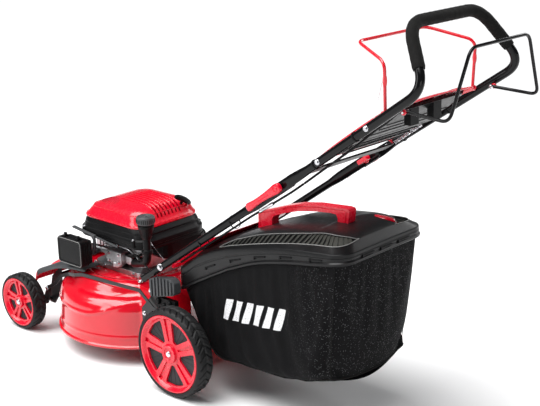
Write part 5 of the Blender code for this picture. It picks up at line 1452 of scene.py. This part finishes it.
def bag_patches(along, down, across):
    """The five-sided bag as one mesh of panels sewn together; uv is in metres, a panel apart."""
    work = bmesh.new()
    layer = work.loops.layers.uv.new("UVMap")

    def panel(rows, uvs):
        verts = [[work.verts.new(point) for point in row] for row in rows]
        for r in range(len(rows) - 1):
            for c in range(len(rows[0]) - 1):
                spots = ((r, c), (r, c + 1), (r + 1, c + 1), (r + 1, c))
                face = work.faces.new([verts[a][b] for a, b in spots])
                for loop, (a, b) in zip(face.loops, spots):
                    loop[layer].uv = uvs[a][b]

    def side_point(sign, s, t):
        upper_y, lower_y, wide, narrow, upper_z, lower_z = spline(BAG, s)
        bulge = 0.004 * sin(pi * t) * sin(pi * min(max(s, 0.0), 1.0))
        return Vector((sign * (wide + (narrow - wide) * t ** 1.3 + bulge), upper_y + (lower_y - upper_y) * t,
                       upper_z + (lower_z - upper_z) * t))

    for sign, shift in ((1, 0.0), (-1, 1.0)):
        rows = [[side_point(sign, i / along, k / down) for k in range(down + 1)] for i in range(along + 1)]
        panel(rows, [[(p.y + shift, p.z) for p in row] for row in rows])
    rows, uvs = [], []
    for i in range(along + 1):
        left, right = side_point(1, i / along, 1.0), side_point(-1, i / along, 1.0)
        rows.append([left.lerp(right, k / across) - Vector((0, 0, 0.004 * sin(pi * k / across)))
                     for k in range(across + 1)])
        uvs.append([(p.y + 2.0, p.x) for p in rows[-1]])
    panel(rows, uvs)
    rows, uvs = [], []
    for k in range(down + 1):
        left, right = side_point(1, 1.0, k / down), side_point(-1, 1.0, k / down)
        rows.append([left.lerp(right, i / across) + Vector((0, 0.012 * sin(pi * i / across) ** 0.7, 0))
                     for i in range(across + 1)])
        uvs.append([(p.x + 4.0, p.z) for p in rows[-1]])
    panel(rows, uvs)
    bmesh.ops.remove_doubles(work, verts=work.verts, dist=0.00005)
    return work


def make_bag():
    """Fabric bag hung from the lid and held out by its frame, settled under its own weight."""
    along, down, across = (60, 28, 34)
    work = bag_patches(along, down, across)
    mesh = to_mesh("bag", work)
    cloth_obj = bpy.data.objects.new("bag_cloth", mesh)
    bpy.context.scene.collection.objects.link(cloth_obj)
    held = []
    _, end_y, _, end_half, end_top, end_low = BAG[-1]
    for vertex in mesh.vertices:
        x, y, z = vertex.co
        _, lower_y, _, narrow, upper_z, lower_z = at_y(BAG, min(y, BAG[-1][0]))
        top = z > min(upper_z, end_top) - 0.020
        front = y < -0.034 + 0.433 * (BAG[0][4] - z)
        seam = y > 0.15 and abs(y - end_y) > 0.012 and z < lower_z + 0.004 and abs(x) > narrow - 0.003
        seam = seam and int(y / 0.009) % 7 == 0
        corner = abs(y - end_y) < 0.012 and z < end_low + 0.012 and abs(x) > end_half - 0.006
        post = y > end_y - 0.006 and abs(x) > end_half - 0.004 + 0.016 * (z - end_low) / 0.32 and z > 0.40
        if top or front or seam or corner or post:
            held.append(vertex.index)
    group = cloth_obj.vertex_groups.new(name="held")
    group.add(held, 1.0, "REPLACE")
    settled = mesh
    modifier = cloth_obj.modifiers.new("Cloth", "CLOTH")
    settings = modifier.settings
    settings.quality = 7
    settings.mass = 0.22
    settings.tension_stiffness = 18
    settings.compression_stiffness = 12
    settings.shear_stiffness = 4
    settings.bending_stiffness = 0.6
    settings.air_damping = 2.0
    settings.vertex_group_mass = "held"
    settings.shrink_min = -0.032
    frames = 46
    modifier.point_cache.frame_start = 1
    modifier.point_cache.frame_end = frames
    for number in range(1, frames + 1):
        bpy.context.scene.frame_set(number)
    graph = bpy.context.evaluated_depsgraph_get()
    settled = bpy.data.meshes.new_from_object(cloth_obj.evaluated_get(graph))
    bpy.context.scene.frame_set(1)
    bpy.data.objects.remove(cloth_obj, do_unlink=True)

    seams = {"left": [], "right": [], "rear": [], "rear_left": [], "rear_right": []}
    count = along + 1

    def index_of(rest):
        return min(range(len(mesh.vertices)), key=lambda i: (mesh.vertices[i].co - rest).length_squared)

    for i in range(0, count, 2):
        _, lower_y, _, narrow, _, lower_z = spline(BAG, i / along)
        seams["left"].append(index_of(Vector((narrow, lower_y, lower_z))))
        seams["right"].append(index_of(Vector((-narrow, lower_y, lower_z))))
    upper_y, lower_y, wide, narrow, upper_z, lower_z = spline(BAG, 1.0)
    for k in range(across + 1):
        x = narrow * (1 - 2 * k / across)
        seams["rear"].append(index_of(Vector((x, lower_y + 0.012 * abs(sin(pi * k / across)) ** 0.7,
                                              lower_z - 0.002))))
    for k in range(0, down + 1, 2):
        t = k / down
        for sign, name in ((1, "rear_left"), (-1, "rear_right")):
            seams[name].append(index_of(Vector((sign * (wide + (narrow - wide) * t ** 1.3),
                                                upper_y + (lower_y - upper_y) * t,
                                                upper_z + (lower_z - upper_z) * t))))
    lines = {name: [settled.vertices[i].co.copy() for i in dict.fromkeys(found)]
             for name, found in seams.items()}
    obj = show("bag_fabric_shell", settled, "catcher", FABRIC, ["catcher_bag"], smooth=75)
    fine = obj.modifiers.new("Fine", "SUBSURF")
    fine.levels = 1
    fine.render_levels = 1

    work = bmesh.new()
    for name, line in lines.items():
        if len(line) < 3:
            continue
        smooth = [line[0]] + [(a + b * 2 + c) / 4 for a, b, c in zip(line, line[1:], line[2:])] + [line[-1]]
        upright = name in ("rear_left", "rear_right")
        swept(work, smooth, 0.0009 if upright else 0.0026, 10, Vector((0, 1, 0) if upright else (0, 0, 1)))
    show("bag_piping", work, "catcher", FOAM_SKIN, smooth=60)


def make_flap():
    """Red flap over the catcher's mouth, with ribs down its slope."""
    outline = [(-0.098, 0.327), (-0.090, 0.3235), (-0.078, 0.3355), (-0.045, 0.3645), (0.080, 0.4460),
               (0.086, 0.4530), (0.078, 0.4505), (-0.050, 0.3680), (-0.090, 0.3365)]
    work = bmesh.new()
    extruded(work, outline, "X", -0.142, 0.142)
    ahead = Vector((0, 0.128, 0.0825)).normalized()
    for k in range(9):
        x = -0.112 + 0.028 * k
        start = Vector((x, -0.036, 0.3775))
        swept(work, [start, start + ahead * 0.100], lambda i: (0.0030, 0.0014), 8)
    show("flap_moulded", work, "flap", RED_MOULDED, ["rear_flap"], bevel=0.0008)


def make_link_bar():
    """Heads of the pins that join the link bar to the two axles' lever arms."""
    crank, crank_turn = 0.045, radians(175)
    arm, arm_turn = 0.049, radians(68)
    head = [(0.0062, 0), (0.0066, 0.0006), (0.0058, 0.0014), (0.0034, 0.0016), (0.0034, 0.0028)]
    work = bmesh.new()
    for (y, z), x in ((REAR_AXLE, 0.1876), (FRONT_AXLE, 0.1596)):
        pin = (x, y - crank * cos(crank_turn) + arm * cos(arm_turn),
               z - crank * sin(crank_turn) + arm * sin(arm_turn))
        turned_about(work, head, pin, (1, 0, 0), 20)
    show("link_pin_heads", work, "link_bar", STEEL, bevel=0.0002)


# CAD nodes that are shown themselves: slot, material, bevel
KEPT_NODES = (
    (("rear_axle", "front_axle", "rear_bracket_left", "rear_bracket_right", "front_axle_carrier",
      "muffler"), "dark_steel", DARK_STEEL, 0.0006),
    (("height_link_bar", "drive_pulley"), "dark_steel", DARK_STEEL, 0.0005),
    (("crankcase", "cylinder", "carburettor", "gearbox"), "cast_aluminium", CAST, 0.0010),
    (("flywheel", "blade_adapter"), "cast_aluminium", CAST, 0.0005),
    (("crankshaft", "blade"), "bright_steel", STEEL, 0.0004),
    (("discharge_chute",), "red_steel", RED_PAINT, 0.0005),
    (("air_filter_base",), "black_plastic", BLACK_SATIN, 0.0008),
    (("air_filter_element",), "filter_foam", FILTER, 0.0010),
    (("spark_plug",), "black_plastic", BLACK_SATIN, 0.0006),
    (("fuel_tank",), "black_plastic", BLACK_SATIN, 0.0015))


def keep_the_rest():
    for nodes, slot, material, bevel in KEPT_NODES:
        for node in nodes:
            keep(node, material, bevel)


# ---- studio -------------------------------------------------------------------------------------
def area_light(name, place, target, size, power, colour=(1, 1, 1)):
    data = bpy.data.lights.new(name, "AREA")
    data.shape = "RECTANGLE"
    data.size, data.size_y = size
    data.energy = power
    data.color = colour
    obj = bpy.data.objects.new(name, data)
    obj.location = place
    obj.rotation_euler = (Vector(target) - Vector(place)).to_track_quat("-Z", "Y").to_euler()
    bpy.context.scene.collection.objects.link(obj)


def make_studio():
    mesh = bpy.data.meshes.new("studio_floor")
    work = bmesh.new()
    corners = [work.verts.new((x, y, -0.0005)) for x, y in ((-30, -30), (30, -30), (30, 30), (-30, 30))]
    work.faces.new(corners)
    work.to_mesh(mesh)
    work.free()
    floor = bpy.data.objects.new("studio_floor", mesh)
    made, tree, shader = new_material("studio_white")
    place = tree.nodes.new("ShaderNodeTexCoord").outputs["Object"]
    colour = blend_colours(tree, noise(tree, place, 2.0), (0.93, 0.93, 0.93), (0.95, 0.95, 0.95))
    tree.links.new(colour, shader.inputs["Base Color"])
    shader.inputs["Roughness"].default_value = 0.9
    shader.inputs["Specular IOR Level"].default_value = 0.1
    mesh.materials.append(made)
    bpy.context.scene.collection.objects.link(floor)

    world = bpy.data.worlds.new("studio_world")
    world.use_nodes = True
    world.node_tree.nodes["Background"].inputs["Color"].default_value = (0.92, 0.95, 1.0, 1.0)
    world.node_tree.nodes["Background"].inputs["Strength"].default_value = 0.13
    bpy.context.scene.world = world
    data = bpy.data.lights.new("daylight", "SUN")
    data.energy = 3.5
    data.angle = radians(50)
    sun = bpy.data.objects.new("daylight", data)
    sun.rotation_euler = (radians(14), radians(18), 0.0)
    bpy.context.scene.collection.objects.link(sun)
    area_light("overhead", (0.5, 0.2, 2.6), (0.0, 0.0, 0.3), (2.2, 2.2), 26.0)
    area_light("key", (2.6, -1.4, 1.9), (0.0, -0.1, 0.3), (1.4, 1.2), 30.0)
    area_light("fill", (1.4, 3.0, 1.4), (0.0, 0.1, 0.4), (1.6, 0.9), 10.0)
    area_light("rim", (-2.4, 0.6, 1.8), (0.0, 0.0, 0.4), (1.4, 1.0), 22.0)


def make_camera():
    yaw, pitch, roll = (radians(angle) for angle in CAMERA_TURN)
    back = Vector((sin(yaw) * cos(pitch), -cos(yaw) * cos(pitch), sin(pitch)))
    right = Vector((cos(yaw), sin(yaw), 0))
    up = back.cross(right)
    x_axis = right * cos(roll) + up * sin(roll)
    y_axis = up * cos(roll) - right * sin(roll)
    turn = Matrix((x_axis, y_axis, back)).transposed().to_4x4()
    data = bpy.data.cameras.new("camera")
    data.sensor_width = 36.0
    data.lens = CAMERA_LENS
    data.dof.use_dof = False
    camera = bpy.data.objects.new("camera", data)
    x, y, z = CAMERA_PLACE
    camera.matrix_world = Matrix.Translation((x, y + SHIFT, z)) @ turn
    bpy.context.scene.collection.objects.link(camera)
    bpy.context.scene.camera = camera
    bpy.context.scene.view_settings.view_transform = "Standard"


def main():
    make_wheels()
    make_deck()
    make_front()
    make_handle_feet()
    make_engine_cover()
    make_fan_housing()
    make_air_filter()
    make_engine_details()
    make_tubes()
    make_bails()
    make_clamps()
    make_console()
    make_cables()
    make_lid()
    make_lid_handle()
    make_bag()
    make_flap()
    make_link_bar()
    keep_the_rest()
    make_studio()
    make_camera()


main()
